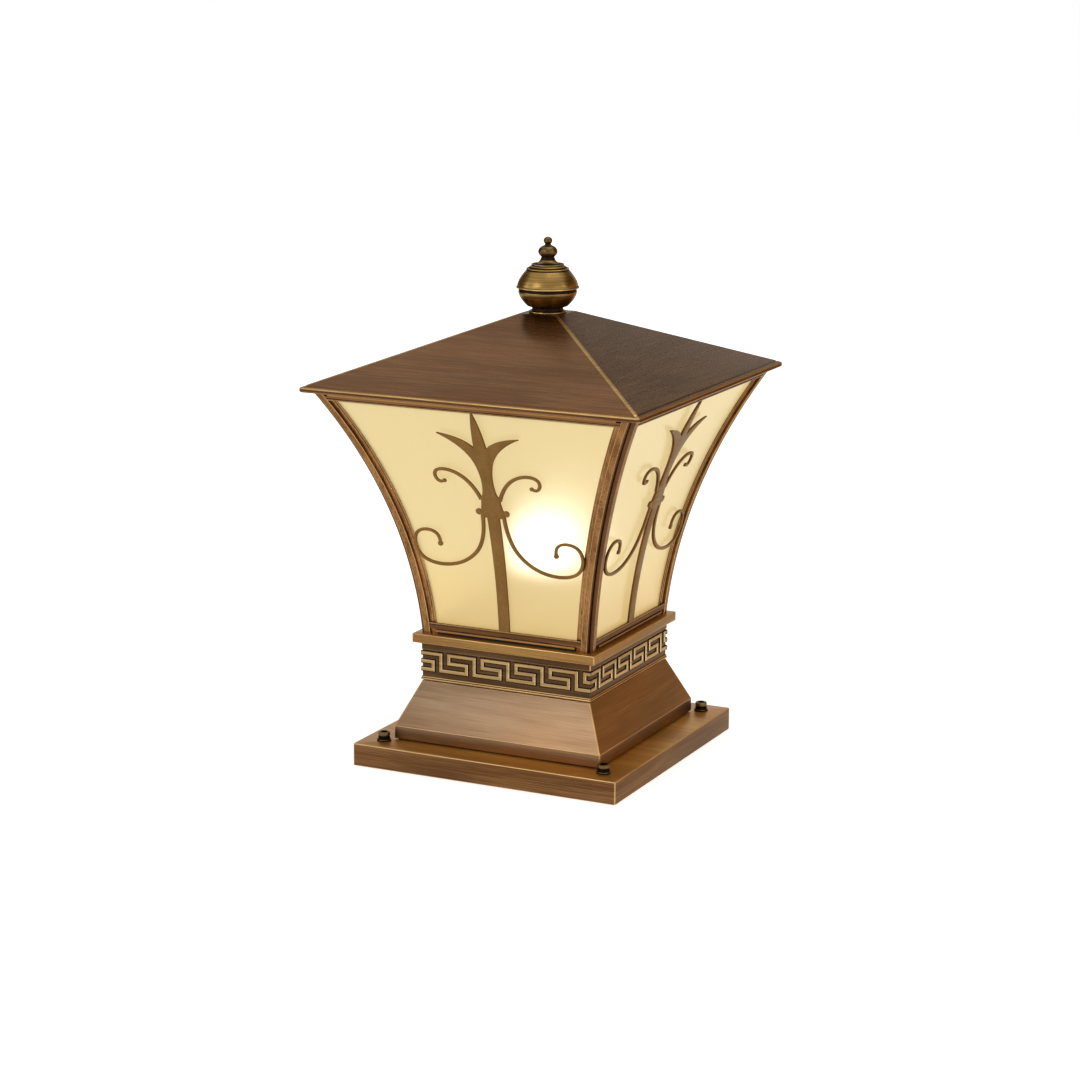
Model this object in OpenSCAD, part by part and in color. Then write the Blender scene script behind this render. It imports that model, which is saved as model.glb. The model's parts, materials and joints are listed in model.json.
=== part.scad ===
// Pillar light with a flared glass lantern on a square base, all lengths in millimetres.
// Origin at the centre of the base's underside, Z up, front face towards -Y.

/* [Base] */
// Width of the square base tray
base_w = 240; // [232:1:256]
// Height of the base tray
base_h = 19.2; // [18:0.1:24]
// Thickness of the folded sheet
sheet = 1.5; // [1.2:0.1:1.8]
// Distance of each base screw from the tray's edges
bolt_inset = 19; // [17:0.5:20]
// Spacing of the four anchor holes
anchor_pitch = 140; // [110:1:160]
// Radius of each anchor hole
anchor_r = 4.5; // [3.5:0.1:6]

/* [Pedestal and neck] */
// Height of the pedestal from gasket to neck
pedestal_h = 48.2; // [44:0.1:60]
// Width of the square neck
neck_w = 154; // [148:1:156]
// Height of the neck below the ledge
neck_h = 32.6; // [30:0.1:40]

/* [Lantern] */
// Width of the lantern where it stands on the ledge
foot_w = 157.2; // [152:0.2:162]
// Width of the lantern under the roof
crown_w = 286.6; // [276:0.2:292]
// Height of the lantern's corner posts
lantern_h = 207.2; // [198:0.2:224]
// Radius of the curve of the four faces
flare_r = 483; // [450:1:560]
// Thickness of the glass panels
glass_t = 2.5; // [2:0.1:3]

/* [Roof and finial] */
// Width of the roof at the eave
roof_w = 300.6; // [298:0.2:316]
// Rise of the roof slope to its virtual apex
roof_rise = 58.9; // [50:0.1:70]
// Largest radius of the finial
finial_r = 26.3; // [24:0.1:30]

/* [Lamp] */
// Radius of the lamp's glass globe
globe_r = 30; // [24:0.5:32]

/* [Hidden] */
$fn = 48;
far = 700;
eps = 0.01;
thread_gap = 0.3;
// Heights of the joints between the pieces, from the ground up
plate_t = 3;
seal_t = 2;
lip_h = 9.8;
z_deck = base_h - sheet;
z_ped = base_h + seal_t;
z_neck = z_ped + pedestal_h;
z_ledge = z_neck + neck_h;
ledge_h = 7.8;
z_foot = z_ledge + ledge_h;
foot_seal_t = 2.4;
z_floor = z_foot + foot_seal_t;
floor_t = 1.6;
z_glass = z_floor + floor_t;
z_crown = z_foot + lantern_h;
roof_seal_t = 1;
z_eave = z_crown + roof_seal_t;
eave_h = 4;
roof_t = 1.2;
// Half widths
base_half = base_w / 2;
bolt_at = base_half - bolt_inset;
lip_half = base_half - 25.4;
neck_half = neck_w / 2;
// The ledge overhangs the lantern's foot and the neck, whichever is the wider
ledge_half = max(foot_w / 2 + 4.9, neck_half + 6.5);
lantern_screw_at = (neck_half + foot_w / 2) / 2 - 16.8;
roof_half = roof_w / 2;
// Flared face: centre of its curve, found from the two widths and the radius
rise = lantern_h;
spread = (crown_w - foot_w) / 2;
chord = sqrt(rise * rise + spread * spread);
reach = sqrt(flare_r * flare_r - chord * chord / 4);
curve_z = z_foot + rise / 2 - spread / chord * reach;
curve_h = foot_w / 2 + spread / 2 + rise / chord * reach;
function face_half(z) = curve_h - sqrt(flare_r * flare_r - (z - curve_z) * (z - curve_z));
// Corner post section, measured inwards from the two faces
notch = 4;
leg = 5.6;
post_in = notch + leg;
stile_back = 2.4;
stile_t = 2;
stile_w = 3.4;
edge_w = 1.8;
edge_back = 3;
post_all = post_in + stile_w + edge_w;
glass_front = stile_back + stile_t;
glass_back = glass_front + glass_t;
bead_t = 2.4;
rail_gap = 0.2;
// Frame heights
groove_h = 1.1;
band_h = 3.6;
rim_h = 1.2;
z_rail = z_glass + groove_h + band_h + rim_h;
crown_t = 1.6;
z_crown_in = z_crown - crown_t;
z_rail_top = z_crown - 5.5;
// Crossbar, rod and screws
bar_t = 5;
bar_w = 25;
z_bar = z_crown_in - bar_t;
crown_open = crown_w / 2 - 25.3;
bar_screw_at = crown_open + 4;
rod_r = 4;
rod_hole_r = rod_r + 0.8;
nut_af = 13;
nut_h = 6.5;
m4_r = 2;
m5_r = 2.5;
m6_r = 3;
slack = 0.3;
// Roof
cap_half = 18;
slope = roof_rise / roof_half;
z_slope = z_eave + eave_h;
z_cap = z_slope + (roof_half - cap_half) * slope;
skin_drop = roof_t * sqrt(1 + slope * slope);
cap_in_half = (z_slope + roof_half * slope - skin_drop - (z_cap - roof_t)) / slope;
flange_in = (crown_w / 2 + roof_half) / 2 - 16.8;
// Finial heights above the roof's flat top
washer_t = 0.6;
fin_k = finial_r / 26.3;
z_fin = z_cap + washer_t;
z_bowl = z_fin + 2.75;
bowl_h = 16.8 * fin_k;
z_equator = z_bowl + bowl_h;
dome_h = 25 * fin_k;
z_knob = z_equator + dome_h;
fin_nut_h = 15.6;
z_fin_nut = z_bowl + 1.2;
z_rod_end = z_fin_nut + 9.3;
// Lamp: the holder hangs through the lantern floor
bracket_t = 1.5;
bracket_w = 88;
bracket_d = 50;
bracket_screw_at = 36;
holder_flange_r = 25;
holder_flange_t = 3;
z_bracket = z_glass + bracket_t;
holder_r = 20;
z_holder = z_floor - 34.2;
holder_top = z_floor + 11.8;
z_contact = z_floor - 13.2;
shell_r = 14.15;
screw_cap_r = 13.2;
z_globe = z_contact + 78;
terminal_y = 34;

function mixed(a, b, t) = a + (b - a) * t;
// Points of a quadratic curve from a to c pulled towards b
function bend(a, b, c, n) =
    [for (i = [0:n]) let (t = i / n) mixed(mixed(a, b, t), mixed(b, c, t), t)];
// Points of an ellipse arc in a turned profile
function oval(cz, rx, rz, a0, a1, n) =
    [for (i = [0:n]) let (a = mixed(a0, a1, i / n)) [rx * cos(a), cz + rz * sin(a)]];
function flipped(p) = [for (i = [len(p) - 1:-1:0]) p[i]];
// The same curve without its first point, to carry a line on
function on(a, b, c, n) = [for (i = [1:n]) let (t = i / n) mixed(mixed(a, b, t), mixed(b, c, t), t)];
// Outline of a tapered ribbon drawn along a line of points
function pen(p, w0, w1) = let (n = len(p) - 1)
    let (side = [for (i = [0:n]) let (d = p[min(i + 1, n)] - p[max(i - 1, 0)])
        mixed(w0, w1, i / n) / 2 * [-d[1], d[0]] / norm(d)])
    concat([for (i = [0:n]) p[i] + side[i]], [for (i = [n:-1:0]) p[i] - side[i]]);

// Square box on the axis between two heights
module slab(half, z0, z1) {
    translate([-half, -half, z0]) cube([2 * half, 2 * half, z1 - z0]);
}
// Square solid with a stepped profile of half width and height
module four_sided(steps) {
    outline = concat(steps, [for (p = flipped(steps)) [-p[0], p[1]]]);
    intersection() {
        rotate([90, 0, 0]) linear_extrude(height = far, center = true) polygon(outline);
        rotate([90, 0, 90]) linear_extrude(height = far, center = true) polygon(outline);
    }
}
module drum(r, z0, z1) {
    translate([0, 0, z0]) cylinder(r = r, h = z1 - z0);
}
module hexagon(af, z0, z1) {
    translate([0, 0, z0]) cylinder(r = af / sqrt(3), h = z1 - z0, $fn = 6);
}
module on_corners(d) {
    for (x = [-d, d]) for (y = [-d, d]) translate([x, y, 0]) children();
}
module on_sides(d) {
    for (a = [0:90:270]) rotate([0, 0, a]) translate([0, -d, 0]) children();
}
module turned(points) {
    rotate_extrude() polygon(points);
}
// Everything shallower than the given depth behind the front face's curve
module near_front(depth) {
    translate([0, -curve_h, curve_z]) rotate([0, 90, 0])
        cylinder(r = flare_r + depth, h = far, center = true);
}
module near_right(depth) {
    rotate([0, 0, 90]) near_front(depth);
}
module near_left(depth) {
    rotate([0, 0, -90]) near_front(depth);
}
// Sheet of the front face between two depths, kept clear of both side faces
module front_sheet(d0, d1, side, z0, z1) {
    difference() {
        intersection() {
            translate([-crown_w, -crown_w, z0]) cube([2 * crown_w, crown_w, z1 - z0]);
            near_front(d1);
        }
        near_front(d0);
        near_right(side);
        near_left(side);
    }
}

module base_tray() {
    color([0.45, 0.32, 0.18]) difference() {
        slab(base_half, 0, base_h);
        slab(base_half - sheet, -1, z_deck);
        on_corners(bolt_at) drum(m6_r + slack, z_deck - 1, base_h + 1);
        on_sides(lip_half - 7.6) drum(m5_r + slack, z_deck - 1, base_h + 1);
        drum(8.2, z_deck - 1, base_h + 1);
        translate([45, -20, 0]) drum(m5_r, z_deck - 1, base_h + 1);
    }
}
module anchor_plate() {
    color([0.55, 0.55, 0.56]) difference() {
        slab(base_half - 7.5, 0, plate_t);
        drum(30, -1, plate_t + 1);
        on_corners(anchor_pitch / 2) drum(anchor_r, -1, plate_t + 1);
    }
}
module anchor_standoffs() {
    color([0.6, 0.6, 0.6]) on_corners(bolt_at) difference() {
        hexagon(10, plate_t, z_deck);
        drum(m6_r, plate_t + 1, z_deck + 1);
    }
}
module base_screws() {
    color([0.12, 0.1, 0.08]) on_corners(bolt_at) difference() {
        union() {
            drum(m6_r, plate_t + 3, base_h + 1.7);
            drum(5, base_h + 1.6, base_h + 7.6);
        }
        hexagon(5, base_h + 4.6, base_h + 8);
    }
}
module base_washers() {
    color([0.3, 0.25, 0.15]) on_corners(bolt_at) difference() {
        drum(6, base_h, base_h + 1.6);
        drum(m6_r + 0.2, base_h - 1, base_h + 3);
    }
}
module pedestal_gasket() {
    color([0.05, 0.05, 0.05]) difference() {
        slab(lip_half - 2.6, base_h, z_ped);
        slab(lip_half - 14.6, base_h - 1, z_ped + 1);
        on_sides(lip_half - 7.6) drum(m5_r + slack, base_h - 1, z_ped + 1);
    }
}
module pedestal() {
    top = neck_half + 0.4;
    color([0.42, 0.3, 0.18]) difference() {
        four_sided([[lip_half, z_ped], [lip_half, z_ped + lip_h], [top, z_neck - 0.9],
            [top - 1.2, z_neck - 0.9], [top - 1.2, z_neck]]);
        four_sided([[lip_half - sheet, z_ped + sheet], [lip_half - sheet, z_ped + lip_h - 0.3],
            [top - sheet - 1.4, z_neck - sheet - 0.9]]);
        slab(lip_half - 14.6, z_ped - 1, z_ped + sheet + 1);
        slab(neck_half - 15, z_neck - 5, z_neck + 1);
        on_sides(lip_half - 7.6) drum(m5_r + slack, z_ped - 1, z_ped + sheet + 0.1);
    }
}
module pedestal_screws() {
    color([0.6, 0.6, 0.6]) on_sides(lip_half - 7.6) {
        drum(4.5, z_deck - 3, z_deck);
        drum(m5_r, z_deck - eps, z_ped + 7);
        difference() {
            hexagon(8, z_ped + sheet, z_ped + sheet + 4);
            drum(m5_r, z_ped, z_ped + 8);
        }
    }
}
module neck() {
    top = z_foot - sheet;
    color([0.35, 0.25, 0.15]) difference() {
        slab(neck_half, z_neck, top);
        slab(neck_half - sheet, z_neck + sheet, top - sheet);
        slab(neck_half - 15, z_neck - 1, z_neck + sheet + 1);
        slab(lantern_screw_at + 5, top - sheet - 1, top + 1);
    }
}
module neck_moulding() {
    color([0.75, 0.55, 0.35]) difference() {
        four_sided([[neck_half - 1, z_neck + 0.1], [neck_half + 0.9, z_neck + 0.1],
            [neck_half + 1.4, z_neck + 0.9], [neck_half + 1.4, z_neck + 2.2],
            [neck_half + 0.9, z_neck + 3], [neck_half - 1, z_neck + 3]]);
        slab(neck_half, z_neck - 1, z_neck + 5);
    }
}
// Fret band: a strip round the neck with the fret raised on it
fret_pitch = neck_w * 0.2026;
fret_w = 2.3;
fret_low = z_neck + 9.2;
fret_step = 6.9;
fret_h = 1.2;
fret_strip_t = 0.4;
module fret_bar(x0, z0, x1, z1) {
    w = fret_w / 2;
    translate([x0 - w, z0 - w]) square([x1 - x0 + fret_w, z1 - z0 + fret_w]);
}
module fret_motif(x) {
    inner = fret_pitch * 0.529;
    last = fret_pitch * 0.76;
    fret_bar(x + last - fret_pitch, fret_low, x + inner, fret_low);
    fret_bar(x + inner, fret_low, x + inner, fret_low + fret_step);
    fret_bar(x, fret_low + fret_step, x + inner, fret_low + fret_step);
    fret_bar(x, fret_low + fret_step, x, fret_low + 2 * fret_step);
    fret_bar(x, fret_low + 2 * fret_step, x + last, fret_low + 2 * fret_step);
    fret_bar(x + last, fret_low, x + last, fret_low + 2 * fret_step);
}
module fret_side(half) {
    rotate([90, 0, 0]) translate([0, 0, neck_half + eps]) linear_extrude(height = fret_h - eps)
        intersection() {
            union() {
                for (k = [-3:2]) fret_motif(fret_pitch * (k + 0.327));
            }
            translate([-half, z_neck]) square([2 * half, neck_h]);
        }
}
module meander() {
    z0 = z_neck + 3.1;
    z1 = z_ledge - 6.6;
    color([0.72, 0.55, 0.36]) difference() {
        union() {
            slab(neck_half + fret_strip_t, z0, z1);
            fret_side(neck_half + fret_h);
            rotate([0, 0, 180]) fret_side(neck_half + fret_h);
            rotate([0, 0, 90]) fret_side(neck_half + eps);
            rotate([0, 0, 270]) fret_side(neck_half + eps);
        }
        slab(neck_half, z0 - 1, z1 + 1);
    }
}
module neck_band() {
    color([0.6, 0.42, 0.25]) difference() {
        slab(neck_half + 0.8, z_ledge - 6.5, z_ledge);
        slab(neck_half, z_ledge - 7, z_ledge + 1);
    }
}
module ledge() {
    color([0.55, 0.38, 0.22]) difference() {
        slab(ledge_half, z_ledge, z_foot);
        slab(ledge_half - sheet, z_ledge + 1.2, z_foot - sheet);
        slab(neck_half, z_ledge - 1, z_ledge + 2);
        slab(50, z_foot - sheet - 1, z_foot + 1);
        on_sides(lantern_screw_at) drum(m5_r + slack, z_foot - 3, z_foot + 1);
    }
}
module lantern_gasket() {
    color([0.05, 0.05, 0.05]) difference() {
        slab(foot_w / 2 - 3.1, z_foot, z_floor);
        slab(foot_w / 2 - 26.6, z_foot - 1, z_floor + 1);
        for (a = [0:90:270]) rotate([0, 0, a]) translate([foot_w / 2 - 15.6, foot_w / 2 - 15.6, 0])
            slab_corner(z_foot - 1, z_floor + 1);
        on_sides(lantern_screw_at) drum(m5_r + slack, z_foot - 1, z_floor + 1);
    }
}
module slab_corner(z0, z1) {
    translate([0, 0, z0]) cube([60, 60, z1 - z0]);
}
// Flat frame plate that follows the flared faces and leaves the four corners to the posts
module frame_plate(z0, z1) {
    cut = face_half(z0) - post_all - 0.4;
    difference() {
        slab(face_half(z1) + 3, z0, z1);
        for (a = [0:90:270]) rotate([0, 0, a]) {
            near_front(0);
            translate([cut, cut, 0]) slab_corner(z0 - 1, z1 + 1);
        }
    }
}
module bottom_frame() {
    z_band = z_glass + groove_h;
    color([0.5, 0.36, 0.2]) difference() {
        union() {
            frame_plate(z_floor, z_glass);
            for (a = [0:90:270]) rotate([0, 0, a]) {
                front_sheet(1.3, stile_back, post_in + rail_gap, z_glass - 0.4, z_rail);
                front_sheet(0.4, 1.8, post_in + rail_gap, z_band, z_rail - rim_h + eps);
                front_sheet(0, 1.8, post_in + rail_gap, z_rail - rim_h, z_rail);
                front_sheet(glass_back, glass_back + 1.5, post_all + 0.4, z_glass - 0.4, z_rail);
            }
        }
        drum(holder_r + 1, z_floor - 1, z_glass + 1);
        on_sides(lantern_screw_at) drum(m5_r + slack, z_floor - 1, z_glass + 0.1);
        for (x = [-1, 1] * bracket_screw_at) translate([x, 0, 0]) drum(m4_r, z_floor - 1, z_glass + 1);
        for (a = [0:90:270]) rotate([0, 0, a]) for (x = [-36, 0, 36])
            translate([x - 4, -face_half(z_glass) - 1, z_glass + eps]) cube([8, 4.2, groove_h - 0.1]);
    }
}
module lantern_screws() {
    top = z_glass;
    color([0.6, 0.6, 0.6]) on_sides(lantern_screw_at) {
        drum(4.5, z_foot - sheet - 3, z_foot - sheet);
        drum(m5_r, z_foot - sheet - eps, top + 5);
        difference() {
            hexagon(8, top, top + 4);
            drum(m5_r, top - 1, top + 5);
        }
    }
}
// Corner post for the corner between the front and right faces
module corner_post() {
    top = z_crown;
    module column(d0, d1, s0, s1) {
        difference() {
            intersection() {
                translate([0, -crown_w, z_foot]) cube([crown_w, crown_w, top - z_foot]);
                near_front(d1);
                near_right(s1);
            }
            near_front(d0);
            near_right(s0);
        }
    }
    difference() {
        union() {
            column(0, post_in, 0, post_in);
            column(stile_back, glass_front, post_in - 1, post_in + stile_w);
            column(edge_back, glass_front, post_in - 1, post_all);
            column(post_in - 1, post_in + stile_w, stile_back, glass_front);
            column(post_in - 1, post_all, edge_back, glass_front);
        }
        column(-1, notch, -1, notch);
    }
}
module corner_post_front_right() {
    color([0.5, 0.36, 0.2]) corner_post();
}
module corner_post_back_right() {
    color([0.5, 0.36, 0.2]) rotate([0, 0, 90]) corner_post();
}
module corner_post_back_left() {
    color([0.5, 0.36, 0.2]) rotate([0, 0, 180]) corner_post();
}
module corner_post_front_left() {
    color([0.5, 0.36, 0.2]) rotate([0, 0, 270]) corner_post();
}
module glass_panel() {
    front_sheet(glass_front, glass_back, post_in + 1.4, z_glass, z_crown_in);
}
module glass_front() {
    color([0.95, 0.88, 0.65]) glass_panel();
}
module glass_right() {
    color([0.95, 0.88, 0.65]) rotate([0, 0, 90]) glass_panel();
}
module glass_back() {
    color([0.95, 0.88, 0.65]) rotate([0, 0, 180]) glass_panel();
}
module glass_left() {
    color([0.95, 0.88, 0.65]) rotate([0, 0, 270]) glass_panel();
}
// Ornament: places are measured from the lantern's foot and scaled with the face
orn_x = (face_half(z_foot + 79) - post_all) / 76.4;
orn_z = lantern_h / 207.2;
function placed(p) = [for (q = p) [q[0] * orn_x, z_foot + q[1] * orn_z]];
module upright() {
    rotate([90, 0, 0]) linear_extrude(height = crown_w) children();
}
module half_ornament() {
    upright() polygon(placed(concat([[-0.5, 8], [5, 8], [5.5, 109.2], [10.6, 109.2]],
        bend([10.8, 113], [8.6, 120], [8.2, 127], 3), bend([6.2, 130], [3.6, 141], [6.6, 152], 5),
        bend([7, 153], [10.5, 170], [36.5, 181.2], 8), bend([36, 182], [14, 179.5], [5.5, 171], 6),
        bend([5.4, 172], [4.6, 188], [0, 205], 5), [[-0.5, 205]])));
    upright() polygon(placed(pen(concat(bend([8.4, 125], [15, 141.5], [27.5, 146.8], 4),
        on([27.5, 146.8], [35, 150], [42, 148.6], 3), on([42, 148.6], [48, 147], [46.8, 141.4], 3),
        on([46.8, 141.4], [44.8, 136], [39.6, 138.4], 3)), 3.1, 2.4)));
    upright() polygon(placed(pen(concat(bend([9.6, 110.8], [10, 87], [21.2, 76], 5),
        on([21.2, 76], [33.5, 63.6], [53, 63.2], 5), on([53, 63.2], [74.8, 63.6], [76.2, 80], 5),
        on([76.2, 80], [75.8, 92.4], [63.6, 92.8], 4),
        on([63.6, 92.8], [52, 92.6], [52.5, 82], 5)), 3.1, 2.5)));
    upright() translate([12.3 * orn_x, z_foot + 114 * orn_z]) circle(r = 2.8);
    upright() translate([39.2 * orn_x, z_foot + 138.7 * orn_z]) circle(r = 1.7);
    upright() translate([52.6 * orn_x, z_foot + 81.4 * orn_z]) circle(r = 2.2);
}
module ornament() {
    difference() {
        intersection() {
            union() {
                half_ornament();
                mirror([1, 0, 0]) half_ornament();
            }
            near_front(stile_back);
            translate([-crown_w, -crown_w, z_rail]) cube([2 * crown_w, crown_w, z_rail_top - z_rail]);
        }
        near_front(0.4);
    }
}
module ornament_front() {
    color([0.5, 0.38, 0.2]) ornament();
}
module ornament_right() {
    color([0.5, 0.38, 0.2]) rotate([0, 0, 90]) ornament();
}
module ornament_back() {
    color([0.5, 0.38, 0.2]) rotate([0, 0, 180]) ornament();
}
module ornament_left() {
    color([0.5, 0.38, 0.2]) rotate([0, 0, 270]) ornament();
}
module glazing_beads() {
    color([0.3, 0.3, 0.3]) for (a = [0:90:270]) rotate([0, 0, a]) for (s = [0, 1]) mirror([s, 0, 0])
        difference() {
            intersection() {
                translate([0, -crown_w, z_glass]) cube([crown_w, crown_w, z_crown_in - z_glass]);
                near_front(glass_back + bead_t);
                near_right(post_all);
            }
            near_front(glass_back);
            near_right(post_in);
        }
}
module top_frame() {
    color([0.5, 0.36, 0.2]) difference() {
        union() {
            frame_plate(z_crown_in, z_crown);
            for (a = [0:90:270]) rotate([0, 0, a]) {
                front_sheet(0.4, stile_back, post_in + rail_gap, z_rail_top, z_crown_in + 0.4);
                front_sheet(0, 1.8, post_in + rail_gap, z_rail_top, z_rail_top + rim_h);
                front_sheet(glass_back, glass_back + 1.5, post_all + 0.4, z_rail_top - 2, z_crown_in + 0.4);
            }
        }
        slab(crown_open, z_crown_in - 1, z_crown + 1);
        for (x = [-bar_screw_at, bar_screw_at]) translate([x, 0, 0]) drum(m4_r, z_crown_in - 1, z_crown + 1);
    }
}
module crossbar() {
    color([0.55, 0.55, 0.55]) difference() {
        translate([-bar_screw_at - 4, -bar_w / 2, z_bar]) cube([2 * bar_screw_at + 8, bar_w, bar_t]);
        drum(rod_r + slack, z_bar - 1, z_crown);
        for (x = [-bar_screw_at, bar_screw_at]) translate([x, 0, 0]) drum(m4_r + slack, z_bar - 1, z_crown);
    }
}
module crossbar_screws() {
    color([0.6, 0.6, 0.6]) for (x = [-bar_screw_at, bar_screw_at]) translate([x, 0, 0]) {
        drum(3.8, z_bar - 3, z_bar);
        drum(m4_r, z_bar - eps, z_crown);
    }
}
module tie_rod() {
    color([0.6, 0.6, 0.6]) drum(rod_r, z_bar - nut_h - 3, z_rod_end);
}
module rod_nuts() {
    color([0.65, 0.65, 0.65]) for (z = [z_bar - nut_h, z_crown_in]) difference() {
        hexagon(nut_af, z, z + nut_h);
        drum(rod_r, z - 1, z + nut_h + 1);
    }
}
module roof_shell() {
    in = roof_half - roof_t;
    color([0.3, 0.25, 0.2]) difference() {
        four_sided([[roof_half, z_eave], [roof_half, z_slope], [cap_half, z_cap]]);
        four_sided([[in, z_eave + roof_t], [in, z_slope + roof_t * slope - skin_drop],
            [cap_in_half, z_cap - roof_t]]);
        slab(flange_in, z_eave - 1, z_eave + roof_t + 1);
        drum(rod_hole_r, z_cap - 3, z_cap + 1);
    }
}
module roof_gasket() {
    color([0.05, 0.05, 0.05]) difference() {
        slab(crown_w / 2 - 2.3, z_crown, z_eave);
        slab(crown_w / 2 - 10.3, z_crown - 1, z_eave + 1);
    }
}
module roof_locator() {
    top = z_eave + roof_t + 1.2;
    color([0.5, 0.5, 0.5]) difference() {
        union() {
            slab(crown_open - 0.5, z_crown - 4, top);
            slab(flange_in + 4, top - 1.2, top);
        }
        slab(crown_open - 1.7, z_crown - 5, top + 1);
        translate([-crown_w, -bar_w / 2 - 1.5, z_crown - 5]) cube([2 * crown_w, bar_w + 3, 5]);
    }
}
module apex_plate() {
    color([0.5, 0.5, 0.5]) difference() {
        slab(cap_half - 2, z_cap - roof_t - 3, z_cap - roof_t);
        drum(rod_hole_r, z_cap - 6, z_cap);
    }
}
module finial_washer() {
    color([0.05, 0.05, 0.05]) difference() {
        drum(13, z_cap, z_fin);
        drum(rod_hole_r, z_cap - 1, z_fin + 1);
    }
}
module finial_foot() {
    color([0.8, 0.6, 0.25]) turned([[rod_hole_r, z_fin], [15, z_fin], [15.6, z_fin + 0.5],
        [15.6, z_fin + 1.1], [15, z_fin + 1.55], [13.2, z_fin + 1.55], [13.2, z_fin + 2.25],
        [14.1, z_bowl], [rod_hole_r, z_bowl]]);
}
// Radius of the finial's bowl at a share of its height
function bowl_at(t) = (14.3 + 9.9 * (1 - pow(1 - t, 1.7))) * fin_k;
function dome_at(t) = (25.2 - 7.6 * pow(t, 1.6)) * fin_k;
module finial_bowl() {
    wall = 1.2;
    curve = 13.8 * fin_k;
    rim = 25.2 * fin_k;
    color([0.8, 0.6, 0.25]) turned(concat([[rod_hole_r, z_bowl]],
        [for (t = [0:0.125:1]) [bowl_at(t), z_bowl + curve * t]],
        [[rim - 1.2, z_bowl + curve + 0.6], [rim, z_bowl + curve + 0.9], [rim, z_equator],
        [rim - 2.4, z_equator]],
        [for (t = [1:-0.125:0.1]) [bowl_at(t) - wall * 1.3, z_bowl + curve * t]],
        [[bowl_at(0) - wall, z_bowl + wall], [rod_hole_r, z_bowl + wall]]));
}
module finial_dome() {
    k = fin_k;
    z = z_equator;
    color([0.8, 0.6, 0.25]) turned(concat([[23 * k, z], [finial_r - 0.5, z], [finial_r, z + 0.4],
        [finial_r, z + 1.1], [finial_r - 0.6, z + 1.5], [25.2 * k, z + 1.9 * k]],
        [for (t = [0.1:0.15:1]) [dome_at(t), z + (2 + 13.1 * t) * k]],
        [[17.8 * k, z + 15.5 * k], [17.9 * k, z + 16.3 * k], [16.2 * k, z + 16.6 * k]],
        bend([15.6 * k, z + 17.4 * k], [14.6 * k, z + 18.4 * k], [13.1 * k, z + 18.9 * k], 2),
        [[13.6 * k, z + 19.2 * k], [13.5 * k, z + 19.9 * k]],
        bend([11.4 * k, z + 20.1 * k], [6.4 * k, z + 21.2 * k], [5.6 * k, z_knob - z + z], 5),
        [[m6_r, z_knob], [m6_r, z + 13.5 * k]],
        [for (t = [0.85:-0.15:0.2]) [dome_at(t) - 1.5, z + (1.4 + 13.1 * t) * k]]));
}
module finial_knob() {
    k = fin_k;
    z = z_knob;
    color([0.85, 0.65, 0.3]) difference() {
        turned(concat([[0, z], [5.6 * k, z], [5.3 * k, z + 0.5]],
            oval(z + 5 * k, 8 * k, 5.6 * k, -48, 66, 10), [[2.2 * k, z + 11.2 * k]],
            oval(z + 14 * k, 3.7 * k, 3.2 * k, -42, 90, 8)));
        drum(m6_r, z - 1, z + 6 * k);
    }
}
module finial_nut() {
    color([0.7, 0.6, 0.3]) difference() {
        hexagon(nut_af, z_fin_nut, z_fin_nut + fin_nut_h);
        drum(rod_r + thread_gap, z_fin_nut - 1, z_rod_end + 1);
        drum(m6_r, z_fin_nut, z_fin_nut + fin_nut_h + 1);
    }
}
module finial_stud() {
    color([0.6, 0.6, 0.6]) drum(m6_r, z_rod_end + 1, z_knob + 6 * fin_k);
}
module lamp_bracket() {
    color([0.7, 0.7, 0.7]) difference() {
        translate([-bracket_w / 2, -bracket_d / 2, z_glass]) cube([bracket_w, bracket_d, bracket_t]);
        drum(holder_r + slack, z_glass - 1, z_bracket + 1);
        for (x = [-1, 1] * bracket_screw_at) translate([x, 0, 0])
            drum(m4_r + slack, z_glass - 1, z_bracket + 1);
    }
}
module bracket_screws() {
    color([0.6, 0.6, 0.6]) for (x = [-1, 1] * bracket_screw_at) translate([x, 0, 0]) {
        drum(m4_r, z_floor - 3, z_bracket + eps);
        drum(3.8, z_bracket, z_bracket + 2.4);
    }
}
module lampholder_body() {
    color([0.9, 0.88, 0.82]) difference() {
        union() {
            drum(holder_r, z_holder, holder_top);
            drum(holder_flange_r, z_bracket, z_bracket + holder_flange_t);
        }
        drum(shell_r, z_contact - 4, holder_top + 1);
        for (x = [-6, 6]) translate([x, 13, 0]) drum(1.5, z_holder - 1, z_holder + 6);
    }
}
module lampholder_shell() {
    color([0.8, 0.65, 0.3]) difference() {
        drum(shell_r, z_contact + 1, holder_top - 2);
        drum(screw_cap_r + thread_gap, z_contact, holder_top);
    }
}
module centre_contact() {
    color([0.8, 0.65, 0.3]) drum(4, z_contact - 4, z_contact);
}
module bulb_contact() {
    color([0.6, 0.6, 0.6]) drum(4.8, z_contact, z_contact + 1.4);
}
module bulb_cap() {
    top = holder_top + 0.3;
    z = z_contact + 5;
    color([0.75, 0.75, 0.75]) turned(concat([[0, z_contact + 1.4], [5.6, z_contact + 1.4], [11.6, z - 1.2]],
        [for (k = [0:9]) [k % 2 == 0 ? 12.3 : screw_cap_r, z + 1.8 * k]],
        [[12.6, top], [11.6, top], [11.6, z], [0, z]]));
}
module bulb_housing() {
    z = holder_top + 0.3;
    neck_z = z_globe - 17 * globe_r / 30;
    rim = globe_r * 0.824;
    color([0.95, 0.95, 0.95]) turned([[0, z], [13.8, z], [14.4, z + 4], [rim, neck_z], [rim - 1.3, neck_z],
        [13, z + 4.4], [12.6, z + 1.5], [0, z + 1.5]]);
}
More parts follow.
